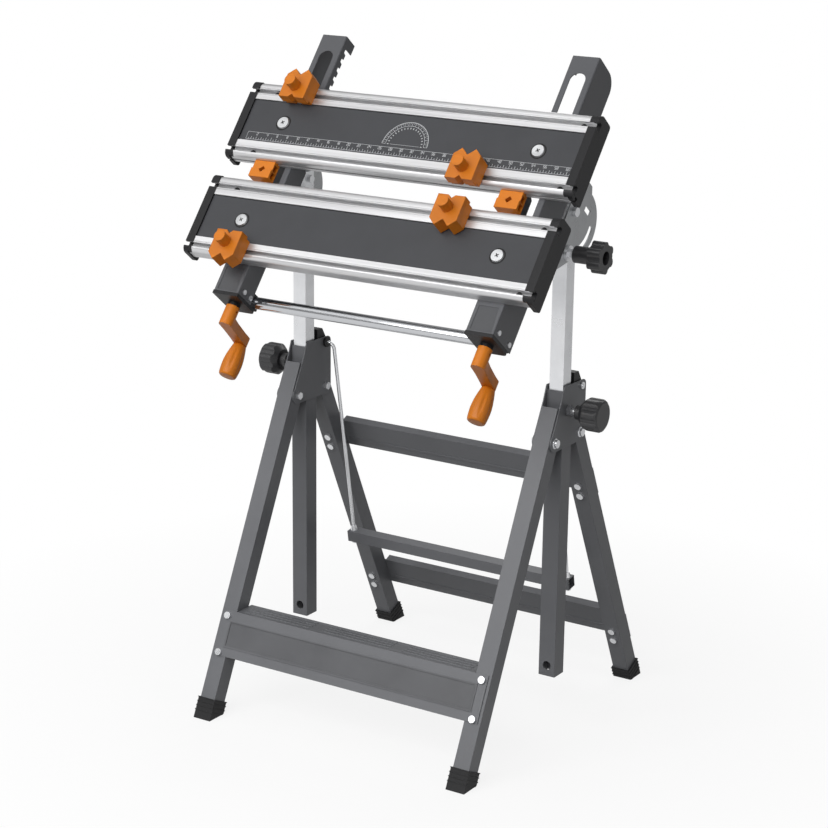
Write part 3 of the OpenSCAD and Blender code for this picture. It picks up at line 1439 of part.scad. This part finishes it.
sleeves();
head_plates();
leg_pivot_bolts();
knob_nuts();
front_legs();
front_feet();
step_panel();
step_bolts();
rear_legs();
rear_feet();
upper_crossbar();
lower_crossbar();
crossbar_bolts();
foot_bar_rods();
foot_bar();
foot_bar_fittings();
latch_lugs();
posts();
clamp_lugs();
tilt_pivot_bolts();
tilt_clamp_bolts();
height_knob_left();
height_screw_left();
height_knob_right();
height_screw_right();
tilt_knob_left();
tilt_knob_right();
rail_left();
rail_right();
rail_cap_left();
rail_cap_right();
rail_cap_screws();
cross_tube();
tilt_bracket_left();
tilt_bracket_right();
bracket_bolts();
spindle_bushes();
spindle_left();
crank_left();
grip_left();
spindle_right();
crank_right();
grip_right();
front_jaw_bars();
front_jaw_panel();
front_jaw_covers();
front_jaw_screws();
spindle_nuts();
rear_jaw_bars();
rear_jaw_panel();
rear_jaw_covers();
rear_jaw_screws();
latch_blocks();
rack_catches();
dog_front_left();
dog_front_right();
dog_rear_left();
dog_rear_right();
vblock_left();
vblock_right();
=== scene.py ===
"""Folding workbench with a tilting clamping table: materials, printed scales, small detail, light and camera."""
import math

import bmesh
import bpy
from mathutils import Matrix, Vector


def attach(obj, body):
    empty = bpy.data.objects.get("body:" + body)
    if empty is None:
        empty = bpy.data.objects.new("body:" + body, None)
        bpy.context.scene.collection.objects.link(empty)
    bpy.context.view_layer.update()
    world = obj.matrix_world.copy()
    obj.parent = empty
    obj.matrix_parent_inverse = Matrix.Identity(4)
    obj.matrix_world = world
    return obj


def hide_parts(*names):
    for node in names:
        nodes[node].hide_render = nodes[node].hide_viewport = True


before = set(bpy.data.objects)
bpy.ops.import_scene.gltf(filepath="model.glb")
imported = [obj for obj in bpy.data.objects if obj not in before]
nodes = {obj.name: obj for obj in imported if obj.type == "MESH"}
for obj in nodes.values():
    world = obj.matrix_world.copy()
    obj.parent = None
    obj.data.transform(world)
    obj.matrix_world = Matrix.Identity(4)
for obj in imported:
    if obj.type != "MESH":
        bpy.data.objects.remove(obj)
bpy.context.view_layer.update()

# The table's own directions: x along the jaws, v up the slope, n out of the table (millimetres)
TABLE_TILT = math.radians(51.0)
PIVOT_Z, PIVOT_V, PIVOT_DROP = 876.0, 217.4, 124.9
RAIL_RIGHT_X, RAIL_LEFT_X = 246.3, -228.0
PANEL_N = -2.0


def table_matrix():
    """Maps table coordinates in millimetres to the row frame in metres."""
    return (Matrix.Scale(0.001, 4) @ Matrix.Translation((0, 0, PIVOT_Z)) @ Matrix.Rotation(TABLE_TILT, 4, "X")
            @ Matrix.Translation((0, -PIVOT_V, PIVOT_DROP)))


TABLE = table_matrix()


# Pointiness at which the wear on an edge starts and is full
EDGE_SHARPNESS = (0.5 + 0.06 * 0.4, 0.5 + 0.06)


class Nodes:
    """Short helper for building one material's node tree."""

    def __init__(self, name):
        self.mat = bpy.data.materials.new(name)
        self.mat.use_nodes = True
        self.tree = self.mat.node_tree
        self.bsdf = self.tree.nodes["Principled BSDF"]

    def add(self, kind, **settings):
        node = self.tree.nodes.new(kind)
        for key, value in settings.items():
            if hasattr(node, key):
                setattr(node, key, value)
            else:
                node.inputs[key].default_value = value
        return node

    def link(self, source, target):
        self.tree.links.new(source, target)

    def coords(self, scale=(1, 1, 1), rotation=(0, 0, 0)):
        """Object coordinates in metres, turned and then scaled."""
        place = self.add("ShaderNodeTexCoord")
        turn = self.add("ShaderNodeMapping", vector_type="POINT")
        turn.inputs["Rotation"].default_value = rotation
        stretch = self.add("ShaderNodeVectorMath", operation="MULTIPLY")
        stretch.inputs[1].default_value = scale
        self.link(place.outputs["Object"], turn.inputs["Vector"])
        self.link(turn.outputs["Vector"], stretch.inputs[0])
        return stretch.outputs["Vector"]

    def noise(self, vector, scale, detail=3.0, roughness=0.5):
        node = self.add("ShaderNodeTexNoise", Scale=scale, Detail=detail, Roughness=roughness)
        self.link(vector, node.inputs["Vector"])
        return node.outputs["Fac"]

    def spread(self, value, low, high, lo=0.3, hi=0.7):
        """Remaps a 0 to 1 value to low to high."""
        node = self.add("ShaderNodeMapRange")
        node.inputs["From Min"].default_value = lo
        node.inputs["From Max"].default_value = hi
        node.inputs["To Min"].default_value = low
        node.inputs["To Max"].default_value = high
        self.link(value, node.inputs["Value"])
        return node.outputs["Result"]

    def mix(self, factor, colour_a, colour_b):
        node = self.add("ShaderNodeMix", data_type="RGBA")
        self.link(factor, node.inputs["Factor"])
        for index, colour in ((6, colour_a), (7, colour_b)):
            if hasattr(colour, "is_output"):
                self.link(colour, node.inputs[index])
            else:
                node.inputs[index].default_value = (*colour, 1)
        return node.outputs[2]

    def edge_wear(self, amount):
        """Rises to amount on sharp outside edges."""
        geometry = self.add("ShaderNodeNewGeometry")
        return self.spread(geometry.outputs["Pointiness"], 0.0, amount, *EDGE_SHARPNESS)

    def bump(self, *heights, radius=None):
        """Chains bumps given as (height output, strength, distance in metres)."""
        normal = None
        if radius:
            round_edge = self.add("ShaderNodeBevel", samples=4, Radius=radius)
            normal = round_edge.outputs["Normal"]
        for height, strength, distance in heights:
            node = self.add("ShaderNodeBump", Strength=strength, Distance=distance)
            self.link(height, node.inputs["Height"])
            if normal is not None:
                self.link(normal, node.inputs["Normal"])
            normal = node.outputs["Normal"]
        self.link(normal, self.bsdf.inputs["Normal"])

    def set(self, **values):
        for key, value in values.items():
            socket = self.bsdf.inputs[key.replace("_", " ")]
            if hasattr(value, "is_output"):
                self.link(value, socket)
            else:
                socket.default_value = (*value, 1) if isinstance(value, tuple) else value
        return self.mat


def srgb(r, g, b):
    """Linear colour of an sRGB triple given in 0 to 255."""
    return tuple(((c / 255) / 12.92) if c / 255 <= 0.04045 else (((c / 255) + 0.055) / 1.055) ** 2.4
                 for c in (r, g, b))


def powder_coat(name, colour):
    """Sprayed and baked coat: fine orange peel, soft sheen, paler worn edges."""
    m = Nodes(name)
    place = m.coords()
    peel = m.noise(place, 900, 2)
    cloud = m.noise(place, 14, 4)
    base = m.mix(m.spread(cloud, 0, 1), tuple(c * 0.88 for c in colour), tuple(c * 1.1 for c in colour))
    worn = m.mix(m.edge_wear(0.35), base, tuple(min(1, c * 2.2) for c in colour))
    m.bump((peel, 0.18, 0.0003), radius=0.0009)
    return m.set(Base_Color=worn, Roughness=m.spread(cloud, 0.34, 0.45), Metallic=0.0, Specular_IOR_Level=0.4)


def zinc_plate(name, colour, scale, rotation=(0, 0, 0)):
    """Zinc plating: cloudy sheen with fine drawing lines along the stock."""
    m = Nodes(name)
    lines = m.noise(m.coords(scale, rotation), 1.0, 3)
    cloud = m.noise(m.coords(), 30, 4)
    base = m.mix(m.spread(cloud, 0, 1), tuple(c * 0.86 for c in colour), colour)
    m.bump((lines, 0.12, 0.0002), radius=0.0005)
    rough = m.mix(m.spread(cloud, 0, 1), (0.24, 0.24, 0.24), (0.38, 0.38, 0.38))
    return m.set(Base_Color=base, Roughness=rough, Metallic=0.9)


def anodised(name, colour):
    """Extruded alloy: fine die lines along X under a satin anodised skin."""
    m = Nodes(name)
    lines = m.noise(m.coords((2, 900, 900)), 1.0, 4)
    wide = m.noise(m.coords((1.2, 140, 140)), 1.0, 2)
    base = m.mix(m.spread(wide, 0, 1), tuple(c * 0.8 for c in colour), colour)
    m.bump((lines, 0.3, 0.0002), radius=0.0005)
    return m.set(Base_Color=base, Roughness=m.spread(lines, 0.3, 0.44), Metallic=0.75, Anisotropic=0.3)


def moulded(name, colour, rough, grain, strength, radius=0.0008, gloss=0.3):
    """Moulded plastic with a sparked grain and slightly paler edges."""
    m = Nodes(name)
    place = m.coords()
    fine = m.noise(place, grain, 3)
    cloud = m.noise(place, 22, 3)
    base = m.mix(m.spread(cloud, 0, 1), tuple(c * 0.92 for c in colour), tuple(min(1, c * 1.06) for c in colour))
    worn = m.mix(m.edge_wear(0.25), base, tuple(min(1, c * 1.5) for c in colour))
    m.bump((fine, strength, 0.0003), radius=radius)
    return m.set(Base_Color=worn, Roughness=m.spread(fine, rough - 0.05, rough + 0.07), Specular_IOR_Level=gloss)


def bright_chrome(name):
    """Chrome-plated tube: almost a mirror, with faint polishing haze."""
    m = Nodes(name)
    haze = m.noise(m.coords((6, 220, 220)), 1.0, 2)
    m.bump((haze, 0.03, 0.0001))
    return m.set(Base_Color=(0.56, 0.57, 0.59), Metallic=1.0, Roughness=m.spread(haze, 0.06, 0.13))


# Distance from the middle, in metres, between the coach screws and the stop screws
STOP_FROM_X = (0.262, 0.266)


def table_screws(name):
    """Zinc-plated coach screws inboard, and black stop screws near the ends of the slots."""
    m = Nodes(name)
    place = m.coords()
    split = m.add("ShaderNodeSeparateXYZ")
    m.link(place, split.inputs[0])
    outward = m.add("ShaderNodeMath", operation="ABSOLUTE")
    m.link(split.outputs["X"], outward.inputs[0])
    stop = m.spread(outward.outputs[0], 0, 1, *STOP_FROM_X)
    cloud = m.noise(place, 60, 3)
    plated = m.mix(m.spread(cloud, 0, 1), (0.5, 0.51, 0.52), (0.66, 0.67, 0.68))
    m.bump((m.noise(place, 900, 2), 0.08, 0.0002), radius=0.0006)
    return m.set(Base_Color=m.mix(stop, plated, BLACK), Metallic=m.spread(outward.outputs[0], 0.8, 0.0, *STOP_FROM_X),
                 Roughness=m.spread(cloud, 0.28, 0.42))


def ink(name, colour):
    """Printed ink, slightly broken up."""
    m = Nodes(name)
    speck = m.noise(m.coords(), 1500, 2)
    base = m.mix(m.spread(speck, 0, 1), tuple(c * 0.85 for c in colour), colour)
    m.bump((speck, 0.05, 0.0001))
    return m.set(Base_Color=base, Roughness=0.5)


POWDER = srgb(94, 95, 98)
RAIL_POWDER = srgb(72, 73, 76)
PANEL_GREY = srgb(60, 61, 64)
BLACK = srgb(22, 22, 24)
ORANGE = srgb(203, 116, 24)

MATERIALS = {
    "powder": powder_coat("powder_coat", POWDER),
    "rail": powder_coat("rail_powder_coat", RAIL_POWDER),
    "zinc": zinc_plate("zinc_plate", (0.85, 0.86, 0.88), (260, 260, 5)),
    "zinc_table": zinc_plate("zinc_plate_table", (0.72, 0.73, 0.75), (200, 200, 200)),
    # Painted shade: a darker copy of the zinc plate for the tilt brackets, for the shade their side faces sit in
    "shaded_zinc": zinc_plate("shaded_zinc_plate", (0.42, 0.43, 0.44), (120, 120, 120)),
    "alloy": anodised("anodised_alloy", (0.72, 0.72, 0.73)),
    "screws": table_screws("jaw_screw_plate"),
    "panel": moulded("panel_grey", PANEL_GREY, 0.5, 700, 0.15),
    "black": moulded("black_plastic", BLACK, 0.42, 1100, 0.2),
    "orange": moulded("orange_plastic", ORANGE, 0.38, 800, 0.12, 0.0012),
    "chrome": bright_chrome("bright_chrome"),
    "rubber": moulded("black_rubber", srgb(36, 36, 37), 0.6, 500, 0.3),
    "knob": moulded("knob_plastic", srgb(44, 44, 46), 0.4, 900, 0.15, gloss=0.6),
    "ink": ink("white_ink", srgb(198, 200, 202)),
    # Near-black used only for painted shade: the strips along the panel edges and the rings and crosses at the coach
    # screws
    "dark": moulded("painted_shade_black", srgb(20, 20, 21), 0.5, 900, 0.1),
}

NODE_FINISH = {
    "powder": ["sleeves", "head_plates", "knob_nuts", "front_legs", "step_panel", "rear_legs", "upper_crossbar",
               "lower_crossbar", "foot_bar", "clamp_lugs"],
    "rail": ["rail_left", "rail_right"],
    "zinc": ["leg_pivot_bolts", "step_bolts", "crossbar_bolts", "foot_bar_rods", "foot_bar_fittings", "posts",
             "tilt_pivot_bolts", "tilt_clamp_bolts", "height_screw_left", "height_screw_right"],
    "zinc_table": ["rail_cap_screws", "bracket_bolts", "spindle_left", "spindle_right", "spindle_nuts",
                   "latch_blocks", "rack_catches"],
    # The tilt brackets take the darker, shade-painted copy of the zinc plate
    "shaded_zinc": ["tilt_bracket_left", "tilt_bracket_right"],
    "screws": ["front_jaw_screws", "rear_jaw_screws"],
    "alloy": ["front_jaw_bars", "rear_jaw_bars"],
    "panel": ["front_jaw_panel", "rear_jaw_panel"],
    "black": ["rail_cap_left", "rail_cap_right", "front_jaw_covers", "rear_jaw_covers", "latch_lugs",
              "spindle_bushes"],
    "knob": ["height_knob_left", "height_knob_right", "tilt_knob_left", "tilt_knob_right"],
    "orange": ["crank_left", "crank_right", "grip_left", "grip_right", "dog_front_left", "dog_front_right",
               "dog_rear_left", "dog_rear_right", "vblock_left", "vblock_right"],
    "chrome": ["cross_tube"],
    "rubber": ["front_feet", "rear_feet"],
}
for finish, names in NODE_FINISH.items():
    for name in names:
        obj = nodes[name]
        obj.data.materials.clear()
        obj.data.materials.append(MATERIALS[finish])


def piece(name, build, matrix, material, body):
    """Makes a mesh object from a function that fills a bmesh in millimetres."""
    bm = bmesh.new()
    build(bm)
    bm.transform(matrix)
    mesh = bpy.data.meshes.new(name)
    bmesh.ops.recalc_face_normals(bm, faces=bm.faces)
    bm.to_mesh(mesh)
    bm.free()
    obj = bpy.data.objects.new(name, mesh)
    bpy.context.scene.collection.objects.link(obj)
    mesh.materials.append(MATERIALS[material])
    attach(obj, body)
    return obj


def add_strip(bm, a, b, width, low, high):
    """Flat bar from a to b in the plane of the table, between two heights."""
    a, b = Vector(a), Vector(b)
    along = (b - a).normalized()
    side = Vector((-along.y, along.x)) * width / 2
    corners = [a - side, b - side, b + side, a + side]
    bottom = [bm.verts.new((c.x, c.y, low)) for c in corners]
    top = [bm.verts.new((c.x, c.y, high)) for c in corners]
    bm.faces.new(top)
    bm.faces.new(bottom[::-1])
    for i in range(4):
        k = (i + 1) % 4
        bm.faces.new((bottom[i], bottom[k], top[k], top[i]))


# Seven-stroke figures for the ruler, in a unit box: each stroke is a pair of points
STROKES = {
    "top": ((0, 1), (1, 1)), "middle": ((0, 0.5), (1, 0.5)), "bottom": ((0, 0), (1, 0)),
    "upper_left": ((0, 0.5), (0, 1)), "upper_right": ((1, 0.5), (1, 1)),
    "lower_left": ((0, 0), (0, 0.5)), "lower_right": ((1, 0), (1, 0.5)),
}
FIGURES = {
    "0": "top bottom upper_left upper_right lower_left lower_right",
    "1": "upper_right lower_right",
    "2": "top middle bottom upper_right lower_left",
    "3": "top middle bottom upper_right lower_right",
    "4": "middle upper_left upper_right lower_right",
    "5": "top middle bottom upper_left lower_right",
    "6": "top middle bottom upper_left lower_left lower_right",
    "7": "top upper_right lower_right",
    "8": "top middle bottom upper_left upper_right lower_left lower_right",
    "9": "top middle bottom upper_left upper_right lower_right",
}
INK_LOW, INK_HIGH = PANEL_N - 0.1, PANEL_N + 0.12
LINE = 0.62


def add_number(bm, text, x, v, height):
    """Writes a number centred on x, standing on v."""
    width = height * 0.55
    step = width * 1.45
    start = x - (len(text) - 1) * step / 2 - width / 2
    for i, figure in enumerate(text):
        for stroke in FIGURES[figure].split():
            (ax, ay), (bx, by) = STROKES[stroke]
            left = start + i * step
            add_strip(bm, (left + ax * width, v + ay * height), (left + bx * width, v + by * height),
                      LINE, INK_LOW, INK_HIGH)


RULER_START, RULER_END = -297, 313
RULER_FOOT, RULER_HEAD = 213.5, 227.0
TICK_STEP, TICK_TALL, TICK_MIDDLE, TICK_SHORT = 5, 6.5, 5.0, 3.0
FIGURE_RISE, FIGURE_HEIGHT = 8.0, 4.4


def ruler(bm):
    """Marks every half centimetre along the rear panel, with a number every two centimetres."""
    for v in (RULER_FOOT, RULER_HEAD):
        add_strip(bm, (RULER_START, v), (RULER_END, v), LINE * 0.8, INK_LOW, INK_HIGH)
    for x in (RULER_START, RULER_END):
        add_strip(bm, (x, RULER_FOOT), (x, RULER_HEAD), LINE * 0.8, INK_LOW, INK_HIGH)
    count = (RULER_END - RULER_START) // TICK_STEP
    for i in range(count + 1):
        x = RULER_START + i * TICK_STEP
        tall = TICK_TALL if i % 10 == 0 else TICK_MIDDLE if i % 2 == 0 else TICK_SHORT
        add_strip(bm, (x, RULER_FOOT), (x, RULER_FOOT + tall), LINE, INK_LOW, INK_HIGH)
        if i % 4 == 0 and i:
            add_number(bm, str(i // 2), x, RULER_FOOT + FIGURE_RISE, FIGURE_HEIGHT)


PROTRACTOR_X, PROTRACTOR_V, PROTRACTOR_R = 5, 233, 42
PROTRACTOR_BAND, FIGURE_RING, FIGURE_MARK = 6.5, 11.0, 1.4


def protractor(bm):
    """Half-circle scale above the ruler: a divided band and a ring of small figures' marks."""
    def on_circle(angle, radius):
        return (PROTRACTOR_X + radius * math.cos(angle), PROTRACTOR_V + radius * math.sin(angle))

    steps = 36
    for radius, weight in ((PROTRACTOR_R, 1.5), (PROTRACTOR_R - PROTRACTOR_BAND, 1.0)):
        for i in range(steps):
            a, b = (math.pi * k / steps for k in (i, i + 1))
            add_strip(bm, on_circle(a, radius), on_circle(b, radius), LINE * weight, INK_LOW, INK_HIGH)
    base = PROTRACTOR_R - FIGURE_RING - 4
    add_strip(bm, (PROTRACTOR_X - base, PROTRACTOR_V), (PROTRACTOR_X + base, PROTRACTOR_V), LINE * 0.7, INK_LOW,
              INK_HIGH)
    for i in range(0, 181, 5):
        angle = math.radians(i)
        depth = PROTRACTOR_BAND if i % 10 == 0 else PROTRACTOR_BAND * 0.5
        add_strip(bm, on_circle(angle, PROTRACTOR_R - depth), on_circle(angle, PROTRACTOR_R), LINE * 0.9,
                  INK_LOW, INK_HIGH)
        if i % 10 == 0:
            ring = PROTRACTOR_R - FIGURE_RING
            add_strip(bm, on_circle(angle, ring - FIGURE_MARK), on_circle(angle, ring + FIGURE_MARK), LINE * 2.2,
                      INK_LOW, INK_HIGH)


piece("ruler_marks", ruler, TABLE, "ink", "rear_jaw")
piece("protractor_marks", protractor, TABLE, "ink", "rear_jaw")

# Painted shade: thin dark strips on the panels where they meet the alloy bars, standing for the shadow in the gap
# between them
PANEL_EDGES = {"front": (27.1, 104.4), "rear": (210.6, 287.4)}
GAP_HALF, GAP_WIDTH = 316.0, 1.1


def panel_gap_shade(bm, edges):
    # Each strip is painted shade for the gap along one panel edge
    for v in edges:
        add_strip(bm, (-GAP_HALF, v), (GAP_HALF, v), GAP_WIDTH, PANEL_N - 0.1, PANEL_N + 0.05)


for jaw, edges in PANEL_EDGES.items():
    piece(f"panel_gap_shade_{jaw}", lambda bm: panel_gap_shade(bm, edges), TABLE, "dark", f"{jaw}_jaw")

# Crank grips: barrel shapes with shallow finger flutes, standing for the plain CAD barrels
GRIP_FRONT_V = -96.6
CRANK_THROW, CRANK_LEAN, SPINDLE_N = 74.0, math.radians(10.6), -58.0
# Distance along the grip and radius
GRIP_PROFILE = [(0, 4.05), (0, 10), (0.8, 10.9), (6, 12.2), (14, 13.9), (23, 15.5), (31, 16.3), (37, 16.5),
                (44, 16.2), (50, 15.7), (54, 15.2), (56.6, 14.4), (57.7, 13), (58, 11), (58, 0)]
FLUTES, FLUTE_DEPTH = 6, 1.5
FLUTE_START, FLUTE_END = 6, 52
GRIP_SIDES, GRIP_STEP = 72, 2.5


def grip_radius(along, radius, angle):
    """Radius of the barrel with six lens-shaped flutes that fade out towards both ends."""
    fade = 0.0
    if FLUTE_START < along < FLUTE_END:
        fade = max(0.0, math.sin(math.pi * (along - FLUTE_START) / (FLUTE_END - FLUTE_START)))
    wave = max(0.0, math.cos(FLUTES * angle)) ** 2
    return radius - FLUTE_DEPTH * fade * wave


def grip(bm, centre_x):
    """Turned barrel on the crank whose spindle is at centre_x."""
    x0 = centre_x - CRANK_THROW * math.sin(CRANK_LEAN)
    n0 = SPINDLE_N - CRANK_THROW * math.cos(CRANK_LEAN)
    profile = []
    for (a, ra), (b, rb) in zip(GRIP_PROFILE, GRIP_PROFILE[1:]):
        parts = max(1, round((b - a) / GRIP_STEP))
        profile += [(a + (b - a) * k / parts, ra + (rb - ra) * k / parts) for k in range(parts)]
    rings = []
    for along, radius in profile:
        ring = []
        for k in range(GRIP_SIDES):
            angle = 2 * math.pi * k / GRIP_SIDES
            r = grip_radius(along, radius, angle)
            ring.append(bm.verts.new((x0 + r * math.cos(angle), GRIP_FRONT_V - along, n0 + r * math.sin(angle))))
        rings.append(ring)
    for low, high in zip(rings, rings[1:]):
        for k in range(GRIP_SIDES):
            j = (k + 1) % GRIP_SIDES
            bm.faces.new((low[k], low[j], high[j], high[k]))
    bm.faces.new(rings[-1])
    bm.faces.new(rings[0][::-1])
    for face in bm.faces:
        face.smooth = True


for side, centre in (("left", RAIL_LEFT_X), ("right", RAIL_RIGHT_X)):
    handle = piece(f"fluted_grip_{side}", lambda bm: grip(bm, centre), TABLE, "orange", f"grip_unit_{side}")
    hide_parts(f"grip_{side}")


# Coach screws: painted shade, a dark ring on the panel round each head for the shadow in the gap, and a dark cross on
# the head for the shade in its cross recess
COACH_XS = (-236.4, 241.8)
COACH_VS = {"front": 65.75, "rear": 249.0}
HEAD_TOP_N, HEAD_R = 0.6, 11.0
RING_IN, RING_OUT = HEAD_R + 0.3, HEAD_R + 2.6
CROSS_TURN, CROSS_REACH, CROSS_WIDTH = 0.6, 3.6, 1.7


def add_ring(bm, x, v, inner, outer, low, high, sides=48):
    """Flat ring with a square section."""
    loops = []
    for radius, n in ((inner, low), (outer, low), (outer, high), (inner, high)):
        loops.append([bm.verts.new((x + radius * math.cos(2 * math.pi * k / sides),
                                    v + radius * math.sin(2 * math.pi * k / sides), n)) for k in range(sides)])
    for a, b in zip(loops, loops[1:] + loops[:1]):
        for k in range(sides):
            j = (k + 1) % sides
            bm.faces.new((a[k], a[j], b[j], b[k]))


def paint_coach_screw_shade(bm, v):
    for x in COACH_XS:
        # Painted shade: the ring darkens the gap round the head, the cross darkens the head's cross recess
        add_ring(bm, x, v, RING_IN, RING_OUT, PANEL_N - 0.1, PANEL_N + 0.25)
        for turn in (CROSS_TURN, CROSS_TURN + math.pi / 2):
            reach = Vector((math.cos(turn), math.sin(turn))) * CROSS_REACH
            add_strip(bm, (x - reach.x, v - reach.y), (x + reach.x, v + reach.y), CROSS_WIDTH, HEAD_TOP_N - 0.3,
                      HEAD_TOP_N + 0.04)


for jaw, v in COACH_VS.items():
    piece(f"coach_screw_shade_{jaw}", lambda bm: paint_coach_screw_shade(bm, v), TABLE, "dark", f"{jaw}_jaw")

# Floor, light and camera
FLOOR_SIZE = 60.0
FLOOR_BOUNCE, FLOOR_GLOSS, FLOOR_GLOSS_BACK = 0.15, 0.9, 0.42
FLOOR_COLOUR = 0.92
# Row frame Y between which the floor seen in gloss falls off, in metres
GLOSS_FRONT_Y, GLOSS_BACK_Y = -0.6, 0.5
# Share of plain white in the floor close to the bench, and the distances where it starts to rise and is full
SHADOW_GLOW, SHADOW_NEAR, SHADOW_FAR = 0.84, 0.45, 1.1
WORLD_LEVEL, GLOSS_LEVEL = 0.14, 0.36


def floor_material():
    """Matt floor that reads as white to the camera and in gloss, and keeps the soft shadow near the feet."""
    m = Nodes("pale_floor")
    paths = m.add("ShaderNodeLightPath")
    place = m.add("ShaderNodeTexCoord")
    split = m.add("ShaderNodeSeparateXYZ")
    m.link(place.outputs["Object"], split.inputs[0])
    gloss = m.add("ShaderNodeMath", operation="MULTIPLY")
    m.link(paths.outputs["Is Glossy Ray"], gloss.inputs[0])
    m.link(m.spread(split.outputs["Y"], FLOOR_GLOSS, FLOOR_GLOSS_BACK, GLOSS_FRONT_Y, GLOSS_BACK_Y), gloss.inputs[1])
    seen = m.add("ShaderNodeMath", operation="MAXIMUM")
    m.link(paths.outputs["Is Camera Ray"], seen.inputs[0])
    m.link(gloss.outputs[0], seen.inputs[1])
    m.set(Base_Color=m.mix(seen.outputs[0], (FLOOR_BOUNCE,) * 3, (FLOOR_COLOUR,) * 3), Roughness=0.9)
    grain = m.noise(m.coords(), 90, 3)
    m.bump((grain, 0.04, 0.0005))
    glow = m.add("ShaderNodeEmission", Color=(1, 1, 1, 1), Strength=1.0)
    reach = m.add("ShaderNodeVectorMath", operation="LENGTH")
    m.link(place.outputs["Object"], reach.inputs[0])
    white = m.spread(reach.outputs["Value"], SHADOW_GLOW, 1.0, SHADOW_NEAR, SHADOW_FAR)
    share = m.add("ShaderNodeMath", operation="MULTIPLY")
    m.link(seen.outputs[0], share.inputs[0])
    m.link(white, share.inputs[1])
    both = m.add("ShaderNodeMixShader")
    m.link(share.outputs[0], both.inputs[0])
    m.link(m.bsdf.outputs[0], both.inputs[1])
    m.link(glow.outputs[0], both.inputs[2])
    m.link(both.outputs[0], m.tree.nodes["Material Output"].inputs["Surface"])
    return m.mat


def make_floor():
    mesh = bpy.data.meshes.new("floor")
    half = FLOOR_SIZE / 2
    mesh.from_pydata([(-half, -half, 0), (half, -half, 0), (half, half, 0), (-half, half, 0)], [], [(0, 1, 2, 3)])
    floor = bpy.data.objects.new("floor", mesh)
    bpy.context.scene.collection.objects.link(floor)
    mesh.materials.append(floor_material())


def make_world():
    """Soft even surround: white to the camera, pale grey in gloss, and dim as a light."""
    world = bpy.data.worlds.new("studio")
    bpy.context.scene.world = world
    world.use_nodes = True
    tree = world.node_tree
    paths = tree.nodes.new("ShaderNodeLightPath")
    surface = tree.nodes["Background"]
    surface.inputs["Strength"].default_value = WORLD_LEVEL
    for ray, level in (("Is Glossy Ray", GLOSS_LEVEL), ("Is Camera Ray", 1.0)):
        seen = tree.nodes.new("ShaderNodeBackground")
        seen.inputs["Strength"].default_value = level
        both = tree.nodes.new("ShaderNodeMixShader")
        tree.links.new(paths.outputs[ray], both.inputs[0])
        tree.links.new(surface.outputs[0], both.inputs[1])
        tree.links.new(seen.outputs[0], both.inputs[2])
        surface = both
    for node in tree.nodes:
        if node.bl_idname == "ShaderNodeBackground":
            node.inputs["Color"].default_value = (1, 1, 1, 1)
    tree.links.new(surface.outputs[0], tree.nodes["World Output"].inputs["Surface"])


def area_light(name, place, target, size, watts):
    light = bpy.data.lights.new(name, "AREA")
    light.shape = "RECTANGLE"
    light.size, light.size_y = size
    light.energy = watts
    obj = bpy.data.objects.new(name, light)
    bpy.context.scene.collection.objects.link(obj)
    obj.location = place
    obj.rotation_euler = (Vector(target) - Vector(place)).to_track_quat("-Z", "Y").to_euler()


CAMERA_PLACE = (1.90664, -3.01949, 1.51660)
CAMERA_AZIMUTH, CAMERA_DOWN, CAMERA_ROLL = (math.radians(a) for a in (32.701, 17.563, 0.653))
CAMERA_LENS, CAMERA_SENSOR = 96.71, 36.0
CAMERA_SHIFT = (0.0049, 0.0823)


def make_camera():
    """The photograph's viewpoint, as solved from the straight tubes seen in it."""
    az, down, roll = CAMERA_AZIMUTH, CAMERA_DOWN, CAMERA_ROLL
    right = Vector((math.cos(az), math.sin(az), 0))
    back = Vector((math.sin(az) * math.cos(down), -math.cos(az) * math.cos(down), math.sin(down)))
    up = back.cross(right)
    rolled_right = math.cos(roll) * right + math.sin(roll) * up
    rolled_up = -math.sin(roll) * right + math.cos(roll) * up
    data = bpy.data.cameras.new("camera")
    data.lens, data.sensor_width = CAMERA_LENS, CAMERA_SENSOR
    data.shift_x, data.shift_y = CAMERA_SHIFT
    data.clip_end = 100
    camera = bpy.data.objects.new("camera", data)
    bpy.context.scene.collection.objects.link(camera)
    columns = Matrix((rolled_right, rolled_up, back)).transposed().to_4x4()
    camera.matrix_world = Matrix.Translation(CAMERA_PLACE) @ columns
    bpy.context.scene.camera = camera


# Name, place, target and size in metres, and power in watts
LAMPS = [
    ("key", (-1.6, -1.1, 3.4), (0, 0, 0.7), (3.4, 3.4), 25),
    ("front_light", (-0.1, -3.1, 2.6), (0, 0, 0.5), (4.0, 2.8), 127),
    ("side_light", (3.2, -0.3, 1.8), (0, 0, 0.6), (2.0, 2.4), 9),
    ("back_light", (-0.5, 2.8, 2.6), (0, 0, 0.7), (2.4, 1.6), 28),
]

make_floor()
make_world()
for lamp in LAMPS:
    area_light(*lamp)
make_camera()

bpy.context.scene.view_settings.view_transform = "Standard"
